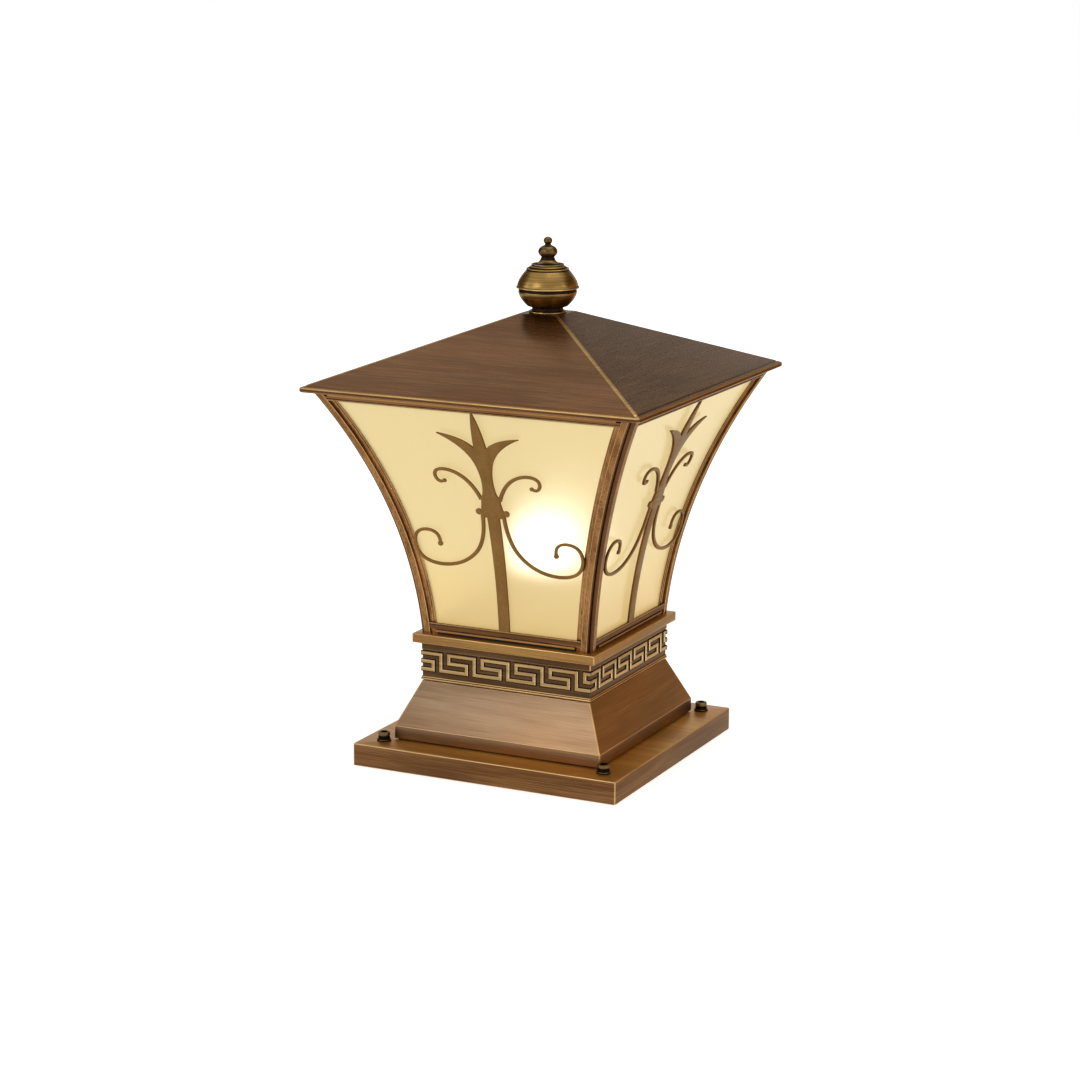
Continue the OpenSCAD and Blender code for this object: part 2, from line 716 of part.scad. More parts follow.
module bulb_globe() {
    a = -34.5;
    rim = globe_r * 0.824;
    color([1, 0.98, 0.9]) turned(concat([[rim, z_globe - 17 * globe_r / 30]],
        oval(z_globe, globe_r, globe_r, a + 3, 90, 24),
        oval(z_globe, globe_r - 1, globe_r - 1, 90, a + 3, 24),
        [[rim - 1.2, z_globe - 17 * globe_r / 30]]));
}
module terminal_block() {
    color([0.85, 0.85, 0.82]) difference() {
        translate([-20, terminal_y - 9, base_h]) cube([40, 18, 14]);
        for (x = [-12, 0, 12]) translate([x, terminal_y, 0]) drum(2.4, base_h + 8, base_h + 15);
        for (x = [-6, 6]) translate([x, terminal_y - 3, base_h + 6.8]) rotate([90, 0, 0])
            cylinder(r = 1.5, h = 8);
    }
}
module lamp_leads() {
    z = base_h + 6.8;
    turn = 8;
    y = 13;
    color([0.5, 0.25, 0.15]) for (x = [-6, 6]) translate([x, 0, 0]) {
        translate([0, terminal_y - 3, z]) rotate([90, 0, 0])
            cylinder(r = 1.5, h = terminal_y - 3 - y - turn + eps);
        translate([0, y + turn, z + turn]) rotate([90, 0, -90]) rotate([0, 0, -90])
            rotate_extrude(angle = 90) translate([turn, 0]) circle(r = 1.5);
        translate([0, y, z + turn - eps]) cylinder(r = 1.5, h = z_holder + 6 - z - turn + eps);
    }
}
module cable_gland() {
    color([0.1, 0.1, 0.1]) difference() {
        union() {
            turned([[0, 0.6], [7.6, 0.6], [10.4, 4], [10.4, z_deck - 5], [0, z_deck - 5]]);
            hexagon(22, z_deck - 5.5, z_deck);
            drum(8, z_deck - 1, base_h + 8);
        }
        drum(4.6, -1, base_h + 10);
    }
}
module gland_locknut() {
    color([0.1, 0.1, 0.1]) difference() {
        hexagon(22, base_h, base_h + 4);
        drum(8, base_h - 1, base_h + 5);
    }
}
module earth_stud() {
    color([0.75, 0.6, 0.3]) translate([45, -20, 0]) {
        drum(m5_r, z_deck - 3.5, base_h + 12);
        hexagon(8, z_deck - 3.5, z_deck);
        hexagon(8, base_h, base_h + 4);
        drum(5, base_h + 4, base_h + 5);
    }
}

base_tray();
anchor_plate();
anchor_standoffs();
base_screws();
base_washers();
pedestal_gasket();
pedestal();
pedestal_screws();
neck();
neck_moulding();
meander();
neck_band();
ledge();
lantern_gasket();
bottom_frame();
lantern_screws();
corner_post_front_right();
corner_post_back_right();
corner_post_back_left();
corner_post_front_left();
glass_front();
glass_right();
glass_back();
glass_left();
ornament_front();
ornament_right();
ornament_back();
ornament_left();
glazing_beads();
top_frame();
crossbar();
crossbar_screws();
tie_rod();
rod_nuts();
roof_shell();
roof_gasket();
roof_locator();
apex_plate();
finial_washer();
finial_foot();
finial_bowl();
finial_dome();
finial_knob();
finial_nut();
finial_stud();
lamp_bracket();
bracket_screws();
lampholder_body();
lampholder_shell();
centre_contact();
bulb_contact();
bulb_cap();
bulb_housing();
bulb_globe();
terminal_block();
lamp_leads();
cable_gland();
gland_locknut();
earth_stud();
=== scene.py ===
"""Looks of the flared pillar light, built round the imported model.
Shapes are worked out in millimetres and turned into metres where a mesh is made."""
import json
import math

import bmesh
import bpy
from mathutils import Matrix, Vector


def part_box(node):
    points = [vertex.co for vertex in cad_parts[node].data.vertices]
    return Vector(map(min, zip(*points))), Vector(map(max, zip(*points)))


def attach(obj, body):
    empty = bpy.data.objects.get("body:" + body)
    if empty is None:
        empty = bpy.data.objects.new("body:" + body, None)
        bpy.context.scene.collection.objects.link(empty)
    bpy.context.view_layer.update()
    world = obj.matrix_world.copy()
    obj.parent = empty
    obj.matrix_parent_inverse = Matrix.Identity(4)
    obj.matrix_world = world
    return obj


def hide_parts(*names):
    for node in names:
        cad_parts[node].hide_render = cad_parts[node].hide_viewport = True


MM = 0.001
# Places in a piece's list of materials: the second is wear with a painted highlight, the third painted shade.
# Level faces share the third place with dark ones; on the tray and ledge it holds a painted reflection instead.
WEAR_AND_HIGHLIGHT, DARK, EXTRA = 1, 2, 3
LEVEL = DARK
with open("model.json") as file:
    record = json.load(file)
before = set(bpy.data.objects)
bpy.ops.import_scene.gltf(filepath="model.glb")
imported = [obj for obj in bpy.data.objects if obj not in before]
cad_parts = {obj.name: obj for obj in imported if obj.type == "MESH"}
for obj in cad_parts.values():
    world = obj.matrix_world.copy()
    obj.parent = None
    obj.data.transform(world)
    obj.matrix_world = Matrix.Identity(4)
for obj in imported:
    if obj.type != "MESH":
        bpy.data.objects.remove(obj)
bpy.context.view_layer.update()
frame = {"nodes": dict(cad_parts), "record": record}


def reach(node):
    """Lowest and highest corner of a CAD node in millimetres."""
    lo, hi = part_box(node)
    return lo / MM, hi / MM


# ---- Main sizes, read from the frame ----
base_half, base_h = reach("base_tray")[1].x, reach("base_tray")[1].z
lip_half, z_ped = reach("pedestal")[1].x, reach("pedestal")[0].z
z_neck = reach("pedestal")[1].z
neck_half = reach("neck")[1].x
ledge_half, z_ledge, z_foot = reach("ledge")[1].x, reach("ledge")[0].z, reach("ledge")[1].z
z_floor = reach("bottom_frame")[0].z
z_rail = reach("bottom_frame")[1].z
z_crown, crown_half = reach("top_frame")[1].z, reach("top_frame")[1].x
roof_half, z_eave, z_cap = reach("roof_shell")[1].x, reach("roof_shell")[0].z, reach("roof_shell")[1].z
WASHER_R, WASHER_T = 6.0, 1.6
bolt_at = reach("base_washers")[1].x - WASHER_R
FOOT_STEP = 4.9  # the ledge reaches this far out past the lantern's foot
foot_half = ledge_half - FOOT_STEP
FLARE_R = 483
SHEET, ROOF_SHEET = 1.5, 1.2
FLOOR_T, TOP_RAIL_H = 1.6, 5.5
z_glass = z_floor + FLOOR_T
z_crown_in = z_crown - FLOOR_T
z_rail_top = z_crown - TOP_RAIL_H
# Corner post section, measured inwards from the two faces
NOTCH, LEG, CREASE = 4.0, 5.6, 0.8
POST_IN = NOTCH + LEG
STILE_BACK, STILE_T, STILE_W, EDGE_W, EDGE_BACK = 2.4, 2.0, 3.4, 1.8, 3.0
POST_ALL = POST_IN + STILE_W + EDGE_W
GLASS_FRONT = STILE_BACK + STILE_T
GLASS_T = 2.5
GLASS_BACK = GLASS_FRONT + GLASS_T
FIT = 0.2  # clearance between a post and what stands next to it

# Centre of the flared faces' curve
rise, spread = z_crown - z_foot, crown_half - foot_half
chord = math.hypot(rise, spread)
apothem = math.sqrt(FLARE_R ** 2 - chord ** 2 / 4)
curve_z = (z_foot + z_crown) / 2 - spread / chord * apothem
curve_h = (foot_half + crown_half) / 2 + rise / chord * apothem


def face_half(z, depth=0.0):
    """Half width of the lantern at a height, at a depth behind the flared face."""
    return curve_h - math.sqrt((FLARE_R + depth) ** 2 - (z - curve_z) ** 2)


def span(a, b, n):
    """n + 1 evenly spaced values from a to b."""
    return [a + (b - a) * i / n for i in range(n + 1)]


# ---- Meshes ----
LEVEL_NORMAL = 0.98  # upright part of the normal of a face that counts as level
WELD = 1e-6
CORNER_TURN = 6  # steps round each corner of a square piece
EASE_STEPS = 3
slot_of = {s["node"]: s["material_slot"] for s in frame["record"]["subparts"]}


def mesh(name, verts, faces, body, nodes, mats, wear_and_highlight=(), smooth=40, flat=True):
    """A piece from points in millimetres. The marked faces take another of the materials, the second unless a mark
    names one, which is wear with a painted highlight; and the plain level faces take the third if there is one and
    flat is set."""
    data = bpy.data.meshes.new(name)
    data.from_pydata([Vector(v) * MM for v in verts], [], faces)
    for m in mats:
        data.materials.append(m)
    wear_and_highlight = wear_and_highlight if isinstance(wear_and_highlight, dict) else {i: WEAR_AND_HIGHLIGHT for i in wear_and_highlight}
    for i, p in enumerate(data.polygons):
        p.use_smooth = True
        if i in wear_and_highlight:
            p.material_index = min(wear_and_highlight[i], len(mats) - 1)
        elif flat and len(mats) > LEVEL and abs(p.normal.z) > LEVEL_NORMAL:
            p.material_index = LEVEL
    bm = bmesh.new()
    bm.from_mesh(data)
    bmesh.ops.remove_doubles(bm, verts=bm.verts, dist=WELD)
    bmesh.ops.recalc_face_normals(bm, faces=bm.faces)
    bm.to_mesh(data)
    bm.free()
    data.set_sharp_from_angle(angle=math.radians(smooth))
    return place(name, data, body, nodes)


def linked(name, data):
    """A new object in the scene."""
    obj = bpy.data.objects.new(name, data)
    bpy.context.collection.objects.link(obj)
    return obj


def place(name, data, body, nodes):
    """A finished mesh, riding on a body and shown in place of the nodes."""
    obj = linked(name, data)
    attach(obj, body)
    if nodes:
        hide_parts(*nodes)
    return obj


def bisected(bm, at, normal, clear=False):
    """Cuts a mesh along a plane, and takes away what lies beyond it if clear is set."""
    return bmesh.ops.bisect_plane(bm, geom=bm.verts[:] + bm.edges[:] + bm.faces[:], plane_co=at,
                                  plane_no=normal, clear_outer=clear)


def rounded(points, closed=True, steps=4):
    """Rounds the corners of a profile. Each point is (a, b), (a, b, radius) or (a, b, radius, material).
    Returns the points, and for each one the material of the stretch after it: 1, wear with a painted highlight, on a
    rounding unless another is given, and 0 elsewhere unless a point with no radius gives one."""
    out, wear_and_highlight = [], []
    n = len(points)
    for i, p in enumerate(points):
        r = p[2] if len(p) > 2 else 0
        if not r or (not closed and i in (0, n - 1)):
            out.append(Vector(p[:2]))
            wear_and_highlight.append(p[3] if len(p) > 3 else 0)
            continue
        here, a, b = Vector(p[:2]), Vector(points[i - 1][:2]), Vector(points[(i + 1) % n][:2])
        da, db = (a - here).normalized(), (b - here).normalized()
        half = math.acos(max(-1, min(1, da.dot(db)))) / 2
        cut = r / math.tan(half)
        centre = here + (da + db).normalized() * (r / math.sin(half))
        start, end = here + da * cut - centre, here + db * cut - centre
        turn = math.pi - 2 * half
        for k in range(steps + 1):
            t = k / steps
            v = (start * math.sin((1 - t) * turn) + end * math.sin(t * turn)) / math.sin(turn)
            out.append(centre + v)
            wear_and_highlight.append((p[3] if len(p) > 3 else WEAR_AND_HIGHLIGHT) if k < steps else 0)
    return out, wear_and_highlight


def pan(name, profile, body, nodes, mats, corner, steps=4, corner_wear_and_highlight=True):
    """A square piece: its profile of half width and height is carried round the four sides."""
    # Roundings take wear with a painted highlight, and so do the corners unless told not to.
    pts, wear_and_highlight = rounded(profile, True, steps)
    around = []
    for q in range(4):
        sx, sy = (1 if q in (0, 3) else -1), (1 if q in (0, 1) else -1)
        for k in range(CORNER_TURN + 1):
            a = math.radians(q * 90 + 90 * k / CORNER_TURN)
            around.append((sx, sy, math.cos(a), math.sin(a)))
    verts = [(sx * (p.x - corner) + corner * c, sy * (p.x - corner) + corner * s, p.y)
             for p in pts for sx, sy, c, s in around]
    faces, edge = [], {}
    n = len(around)
    for i in range(len(pts)):
        j = (i + 1) % len(pts)
        for k in range(n):
            m = (k + 1) % n
            at_corner = k % (CORNER_TURN + 1) != CORNER_TURN
            if wear_and_highlight[i] or (corner_wear_and_highlight and at_corner):
                edge[len(faces)] = wear_and_highlight[i] or WEAR_AND_HIGHLIGHT
            faces.append((i * n + k, i * n + m, j * n + m, j * n + k))
    mesh(name, verts, faces, body, nodes, mats, edge)


def lathe(name, profile, body, nodes, mats, turn=96, closed=True):
    """A turned piece: its profile of radius and height is carried round a vertical axis."""
    # Roundings take wear with a painted highlight unless a point gives another material.
    pts, wear_and_highlight = rounded(profile, closed)
    angles = [2 * math.pi * k / turn for k in range(turn)]
    verts = [(p.x * math.cos(a), p.x * math.sin(a), p.y) for p in pts for a in angles]
    faces, edge = [], {}
    for i in range(len(pts) if closed else len(pts) - 1):
        j = (i + 1) % len(pts)
        for k in range(turn):
            m = (k + 1) % turn
            if wear_and_highlight[i]:
                edge[len(faces)] = wear_and_highlight[i]
            faces.append((i * turn + k, i * turn + m, j * turn + m, j * turn + k))
    mesh(name, verts, faces, body, nodes, mats, edge, flat=False)


def turned_about_z(points, quarter):
    """Points of the front face carried to one of the other faces by quarter turns."""
    c, s = ((1, 0), (0, 1), (-1, 0), (0, -1))[quarter]
    return [(x * c - y * s, x * s + y * c, z) for x, y, z in points]


def tube_between(rows):
    """Faces that join rows of points of equal length, and last the two end caps."""
    n = len(rows[0])
    verts = [v for row in rows for v in row]
    faces = []
    for i in range(len(rows) - 1):
        for k in range(n):
            m = (k + 1) % n
            faces.append((i * n + k, i * n + m, (i + 1) * n + m, (i + 1) * n + k))
    faces.append(tuple(range(n))[::-1])
    faces.append(tuple((len(rows) - 1) * n + k for k in range(n)))
    return verts, faces


def bend_line(a, b, c, n):
    """Points of a quadratic curve from a to c pulled towards b."""
    return [tuple((1 - t) ** 2 * a[k] + 2 * t * (1 - t) * b[k] + t * t * c[k] for k in (0, 1))
            for t in (i / n for i in range(n + 1))]


# ---- Materials ----
# Sockets of a Mix node when it mixes colours
MIX_FACTOR, MIX_A, MIX_B, MIX_RESULT = 0, 6, 7, 2


class Nodes:
    """Short hand for building the node tree of a material."""

    def __init__(self, name):
        self.mat = bpy.data.materials.new(name)
        self.mat.use_nodes = True
        self.tree = self.mat.node_tree
        self.shader = self.tree.nodes["Principled BSDF"]
        self.out = self.tree.nodes["Material Output"]
        self.coord = self.tree.nodes.new("ShaderNodeTexCoord").outputs["Object"]

    def new(self, kind, **values):
        node = self.tree.nodes.new(kind)
        for key, value in values.items():
            if key in node.inputs:
                node.inputs[key].default_value = value
            else:
                setattr(node, key, value)
        return node

    def link(self, a, b):
        self.tree.links.new(a, b)

    def feed(self, socket, value):
        """Sets a socket to a number or a colour, or links it."""
        if isinstance(value, (int, float)):
            socket.default_value = value
        elif isinstance(value, tuple):
            socket.default_value = (*value, 1)
        else:
            self.link(value, socket)

    def set(self, **values):
        """Feeds inputs of the shader. An underscore in a name stands for a space."""
        for key, value in values.items():
            self.feed(self.shader.inputs[key.replace("_", " ")], value)

    def noise(self, scale, stretch=(1, 1, 1), detail=4.0, rough=0.55):
        m = self.new("ShaderNodeMapping")
        m.inputs["Scale"].default_value = stretch
        self.link(self.coord, m.inputs["Vector"])
        n = self.new("ShaderNodeTexNoise", Scale=scale, Detail=detail, Roughness=rough)
        self.link(m.outputs["Vector"], n.inputs["Vector"])
        return n.outputs["Fac"]

    def ramp(self, value, stops):
        r = self.new("ShaderNodeValToRGB")
        els = r.color_ramp.elements
        while len(els) < len(stops):
            els.new(0.5)
        for el, (at, colour) in zip(els, stops):
            el.position = at
            el.color = (*colour, 1) if not isinstance(colour, float) else (colour, colour, colour, 1)
        self.link(value, r.inputs["Fac"])
        return r.outputs["Color"]

    def mix(self, fac, a, b):
        m = self.new("ShaderNodeMix", data_type="RGBA", clamp_factor=True)
        for at, value in ((MIX_FACTOR, fac), (MIX_A, a), (MIX_B, b)):
            self.feed(m.inputs[at], value)
        return m.outputs[MIX_RESULT]

    def math(self, op, a, b=0.0):
        m = self.new("ShaderNodeMath", operation=op)
        self.feed(m.inputs[0], a)
        self.feed(m.inputs[1], b)
        return m.outputs[0]

    def towards(self, tone, colour, noise, stops, amount):
        """The tone mixed towards a colour where a ramp over a noise says so."""
        return self.mix(self.math("MULTIPLY", self.ramp(noise, stops), amount), tone, colour)

    def bump(self, height, strength, distance=0.0002):
        b = self.new("ShaderNodeBump", Strength=strength, Distance=distance)
        self.link(height, b.inputs["Height"])
        self.link(b.outputs["Normal"], self.shader.inputs["Normal"])


def srgb(r, g, b):
    """A colour given in 0 to 255 screen values, as the linear values that shaders take."""
    def one(c):
        c /= 255
        return c / 12.92 if c <= 0.04045 else ((c + 0.055) / 1.055) ** 2.4
    return one(r), one(g), one(b)


def scaled(colour, *by):
    """A colour with its parts multiplied, by one factor or by one each, and kept to 1 at most."""
    return tuple(min(1, c * k) for c, k in zip(colour, by * 3 if len(by) == 1 else by))


# Directions across the brush lines, for each kind of face
ACROSS = {"level": (0, 0, 1), "upright": (1, 1, 0), "round": (0, 0, 1), "flat": (0, 1, 0)}


def brushing(t, grain, scale, ratio, detail, rough):
    """Noise drawn out into lines: ratio is how many times longer than wide they are."""
    stretch = tuple(1 + (ratio - 1) * v for v in ACROSS[grain])
    return t.noise(scale, stretch, detail, rough)


def antique(name, base, grain="level", spread=0.3, metallic=0.88, rough=0.34, coat=0.05, patch=0.25,
            cloud=0.0, relief=0.2):
    """Brushed antique brass: fine brush lines, wider streaks and slow patches of patina."""
    t = Nodes(name)
    fine = brushing(t, grain, 22, 70, 4, 0.6)
    hair = brushing(t, grain, 60, 60, 2, 0.5)
    wide = brushing(t, grain, 7, 16, 3, 0.5)
    slow = t.noise(7, (1, 1, 1.6), 2, 0.5)
    tone = t.ramp(fine, [(0.36, scaled(base, 1 - spread)), (0.5, base), (0.64, scaled(base, 1 + spread))])
    darker = scaled(base, 1 - 0.9 * spread, 1 - 1.1 * spread, 1 - 1.3 * spread)
    lighter = scaled(base, 1 + spread, 1 + 1.1 * spread, 1 + 1.3 * spread)
    tone = t.towards(tone, darker, wide, [(0.38, 1.0), (0.52, 0.0)], 0.6)
    tone = t.towards(tone, lighter, wide, [(0.5, 0.0), (0.66, 1.0)], 0.5)
    tone = t.towards(tone, darker, hair, [(0.36, 1.0), (0.48, 0.0)], 0.4)
    tone = t.towards(tone, scaled(base, 1.15, 0.86, 0.5), slow, [(0.4, 0.0), (0.66, 1.0)], patch)
    if cloud:
        blot = t.noise(6, tuple(1 + 2 * v for v in ACROSS[grain]), 3, 0.5)
        tone = t.towards(tone, scaled(base, 0.62, 0.5, 0.4), blot, [(0.36, 1.0), (0.56, 0.0)], cloud)
    t.set(Base_Color=tone, Roughness=t.math("ADD", t.math("MULTIPLY", hair, 0.2), rough - 0.1), Metallic=metallic,
          Coat_Weight=coat, Coat_Roughness=0.28, Specular_Tint=(0.72, 0.68, 0.6))
    t.bump(hair, relief, 0.0001)
    return t.mat


def plain(name, colour, metallic=0.0, rough=0.5, bump=0.1, **sockets):
    """A plain finish with a slight mottle and a fine uneven surface."""
    t = Nodes(name)
    grain = t.noise(60, detail=5)
    t.set(Base_Color=t.ramp(grain, [(0.3, scaled(colour, 0.88)), (0.7, scaled(colour, 1.12))]),
          Roughness=t.math("ADD", t.math("MULTIPLY", grain, 0.2), rough - 0.1), Metallic=metallic, **sockets)
    t.bump(grain, bump)
    return t.mat


def zinc(name, colour):
    """Zinc plate: pale spangle over steel."""
    t = Nodes(name)
    cells = t.new("ShaderNodeTexVoronoi", Scale=240.0)
    t.link(t.coord, cells.inputs["Vector"])
    facet = t.math("FRACT", t.math("MULTIPLY", cells.outputs["Distance"], 3.0))
    t.set(Base_Color=t.ramp(facet, [(0.0, scaled(colour, 0.72)), (1.0, colour)]), Metallic=0.9,
          Roughness=t.math("ADD", t.math("MULTIPLY", t.noise(180), 0.25), 0.25))
    return t.mat


def glowing_glass(name):
    """Cream opal glass: a lit body colour, and a frosted share that lets the bulb show through."""
    t = Nodes(name)
    split = t.new("ShaderNodeSeparateXYZ")
    t.link(t.coord, split.inputs[0])
    level = t.math("ADD", t.math("MULTIPLY", split.outputs[2], 4.9), t.math("MULTIPLY", t.noise(14), 0.1))
    body = t.ramp(level, [(0.6, srgb(235, 203, 134)), (0.86, srgb(237, 212, 150)), (1.5, srgb(236, 214, 156))])
    t.set(Base_Color=t.mix(0.76, body, (0, 0, 0)), Roughness=0.22, IOR=1.5, Emission_Color=body,
          Emission_Strength=0.83)
    frost = t.new("ShaderNodeBsdfRefraction", Roughness=0.54, IOR=1.3)
    frost.inputs["Color"].default_value = (1, 0.985, 0.94, 1)
    blend = t.new("ShaderNodeMixShader")
    blend.inputs["Fac"].default_value = 0.4
    t.link(t.shader.outputs[0], blend.inputs[1])
    t.link(frost.outputs[0], blend.inputs[2])
    t.link(blend.outputs[0], t.out.inputs["Surface"])
    return t.mat


def glowing_bulb(name, strength):
    """Lit opal globe."""
    t = Nodes(name)
    tone = t.ramp(t.noise(30, detail=2), [(0.3, (1.0, 0.95, 0.85)), (0.7, (1.0, 0.98, 0.93))])
    t.set(Base_Color=tone, Emission_Color=tone, Emission_Strength=strength, Roughness=0.35)
    return t.mat


brass = antique("antique_brass", srgb(112, 79, 47), spread=0.55, cloud=0.4)
# A lighter amber copy of the brass for the level faces of the tray and ledge: a painted reflection.
brass_top_reflection = antique("antique_brass_top_reflection", srgb(196, 142, 62), "flat", metallic=0.55, cloud=0.65)
brass_ledge = antique("antique_brass_ledge", srgb(142, 106, 58), spread=0.36)
brass_pedestal = antique("antique_brass_pedestal", srgb(128, 104, 78), spread=0.34, patch=0.45,
                         coat=0.3, cloud=0.5)
brass_upright = antique("antique_brass_upright", srgb(138, 99, 57), "upright", spread=0.6, patch=0.1, cloud=0.3)
brass_roof = antique("antique_brass_roof", srgb(107, 72, 42), spread=0.38, rough=0.26, coat=0.13,
                     patch=0.4, cloud=0.35, relief=0.06)
brass_ornament = antique("antique_brass_ornament", srgb(120, 88, 44), "upright", spread=0.2, patch=0.1)
# A darker copy of the ornament's brass for its cut edges: painted shade.
ornament_edge_shade = antique("ornament_edge_shade", srgb(112, 78, 38), "upright", spread=0.25)
# Wear with a painted highlight, for the rounded edges and corners of the brass pieces.
wear_and_highlight = antique("edge_wear_and_highlight", srgb(186, 150, 102), spread=0.2, rough=0.32, patch=0.1)
# Wear with a painted highlight, for the roof's eave edges, cap edge and hips.
roof_wear_and_highlight = antique("roof_wear_and_highlight", srgb(164, 132, 84), spread=0.3, patch=0.2)
eave_shade = antique("eave_shade", srgb(84, 60, 36), spread=0.35)
# A softer painted highlight over wear, for the outer edges of the frames' plates.
soft_wear_and_highlight = antique("soft_wear_and_highlight", srgb(150, 108, 62), spread=0.2, patch=0.3)
fret_top = antique("fret_line", srgb(170, 140, 92), spread=0.35, patch=0.1)
# Pale brass for the bevels of the fret lines: a painted highlight.
fret_edge_highlight = antique("fret_edge_highlight", srgb(222, 196, 152), spread=0.2, patch=0.1)
fret_ground = antique("fret_ground", srgb(84, 60, 34), spread=0.45, metallic=0.8, rough=0.4)
# Near black for grooves, creases, the sides of the fret and the undersides of turned parts: painted shade over dark
# patina.
shade_and_patina = antique("painted_shade_and_patina", srgb(30, 20, 10), spread=0.3, metallic=0.8, rough=0.5, coat=0)
polished = antique("polished_brass", srgb(140, 111, 60), "round", spread=0.38, metallic=0.95, rough=0.3,
                   patch=0.1)
# Pale polished brass for the finial's roundings: a painted highlight over wear.
polished_wear_and_highlight = antique("polished_brass_edge", srgb(190, 158, 104), "round", spread=0.15, metallic=1.0,
                        rough=0.3, patch=0.05)
polished_dark = antique("polished_brass_dark", srgb(92, 74, 44), "round", metallic=0.95, rough=0.28)
notch_brass = antique("notch_brass", srgb(112, 74, 38), "upright", metallic=0.4, rough=0.5, coat=0)
black_brass = antique("blackened_screw", srgb(24, 18, 12), "round", spread=0.3, rough=0.34)
# Lighter brass for the rims of the screw heads and washers: a painted highlight over wear.
screw_rim = antique("screw_rim", srgb(104, 86, 50), "round", spread=0.3, rough=0.3)
rubber = plain("black_rubber", srgb(16, 14, 13), rough=0.75, bump=0.3)
steel = zinc("zinc_steel", (0.62, 0.63, 0.64))
glass = glowing_glass("cream_glass")
globe = glowing_bulb("opal_globe", 10.0)
ceramic = plain("white_ceramic", (0.82, 0.8, 0.74), rough=0.25, Coat_Weight=0.6)
white_plastic = plain("white_plastic", (0.8, 0.8, 0.78), rough=0.45)
cap_metal = plain("cap_metal", (0.72, 0.72, 0.73), 1.0, 0.3)
contact_brass = plain("contact_brass", (0.72, 0.55, 0.26), 1.0, 0.32)
black_plastic = plain("black_plastic", (0.02, 0.02, 0.02), rough=0.45)
lead_sleeve = plain("lead_sleeve", (0.3, 0.1, 0.04), rough=0.6)

MATERIAL = {
    "antique_brass": brass, "dark_brass": fret_ground, "light_brass": fret_top, "roof_brass": brass_roof,
    "ornament_brass": brass_ornament, "polished_brass": polished, "contact_brass": contact_brass,
    "blackened_screw": black_brass, "zinc_steel": steel, "black_rubber": rubber, "cream_glass": glass,
    "opal_globe": globe, "white_ceramic": ceramic, "white_plastic": white_plastic, "cap_metal": cap_metal,
    "black_plastic": black_plastic, "lead_sleeve": lead_sleeve}
for node, obj in frame["nodes"].items():
    obj.data.materials.clear()
    obj.data.materials.append(MATERIAL[slot_of[node]])

# ---- Base, pedestal, neck and ledge ----
TRAY_HOLE = 10
# Its roundings and corners take wear with a painted highlight, and its level faces a painted reflection in lighter
# brass.
pan("base_tray_skin", [
    (base_half - SHEET, 0), (base_half, 0, 0.5), (base_half, base_h, 0.9), (TRAY_HOLE, base_h),
    (TRAY_HOLE, base_h - SHEET), (base_half - SHEET, base_h - SHEET)],
    "lantern", ["base_tray"], [brass, wear_and_highlight, brass_top_reflection], corner=0.9)
ped_top = neck_half + 0.4
slope_top = z_neck - 0.9
LIP_SKIRT, LIP_FLANGE, NECK_FLANGE = 0.9, 14.6, 15
# Its roundings and corners take wear with a painted highlight, all but the lowest edge of the lip.
pan("pedestal_skin", [
    (lip_half - LIP_FLANGE, z_ped), (lip_half - 1.4, z_ped), (lip_half - 1.4, z_ped - LIP_SKIRT),
    (lip_half, z_ped - LIP_SKIRT, 0.4, 0), (lip_half, z_ped + 9.8, 1.1),
    (ped_top, slope_top, 0.4), (ped_top - 1.2, slope_top), (ped_top - 1.2, z_neck),
    (neck_half - NECK_FLANGE, z_neck), (neck_half - NECK_FLANGE, z_neck - SHEET), (ped_top - 4, z_neck - 2.4),
    (lip_half - 2, z_ped + 9.4), (lip_half - 2, z_ped + SHEET), (lip_half - LIP_FLANGE, z_ped + SHEET)],
    "lantern", ["pedestal"], [brass_pedestal, wear_and_highlight], corner=0.9)
bead, z = neck_half + 1.4, z_neck
# The beads' roundings and corners take wear with a painted highlight.
pan("neck_moulding_beads", [
    (neck_half, z + 0.1), (bead - 0.2, z + 0.1, 0.2), (bead, z + 0.8, 0.5), (bead - 0.3, z + 1.45, 0.3),
    (neck_half + 0.5, z + 1.5), (neck_half + 0.5, z + 1.8), (bead - 0.5, z + 1.85, 0.3),
    (bead - 0.3, z + 2.4, 0.4), (bead - 0.7, z + 3, 0.3), (neck_half, z + 3)],
    "lantern", ["neck_moulding"], [fret_top, wear_and_highlight], corner=0.9)
# A dark ring in the groove between the beads: painted shade over patina.
pan("neck_moulding_groove", [
    (neck_half + 0.1, z + 1.52), (neck_half + 0.75, z + 1.52), (neck_half + 0.75, z + 1.78),
    (neck_half + 0.1, z + 1.78)], "lantern", [], [shade_and_patina], corner=0.5, corner_wear_and_highlight=False)
BAND_H, BAND_OUT = 6.5, 0.8
# Its roundings and corners take wear with a painted highlight.
pan("neck_band_strip", [
    (neck_half, z_ledge - BAND_H), (neck_half + BAND_OUT, z_ledge - BAND_H, 0.35), (neck_half + BAND_OUT, z_ledge),
    (neck_half, z_ledge)], "lantern", ["neck_band"], [fret_ground, wear_and_highlight], corner=0.8)
LEDGE_HOLE, LEDGE_LIP_T = 50, 1.2
# Its roundings and corners take wear with a painted highlight, and its level faces a painted reflection in lighter
# brass.
pan("ledge_skin", [
    (neck_half + 0.1, z_ledge), (ledge_half, z_ledge, 0.5), (ledge_half, z_foot, 0.8), (LEDGE_HOLE, z_foot),
    (LEDGE_HOLE, z_foot - SHEET), (ledge_half - SHEET, z_foot - SHEET), (ledge_half - SHEET, z_ledge + LEDGE_LIP_T),
    (neck_half + 0.1, z_ledge + LEDGE_LIP_T)], "lantern", ["ledge"], [brass_ledge, wear_and_highlight, brass_top_reflection], corner=0.8)

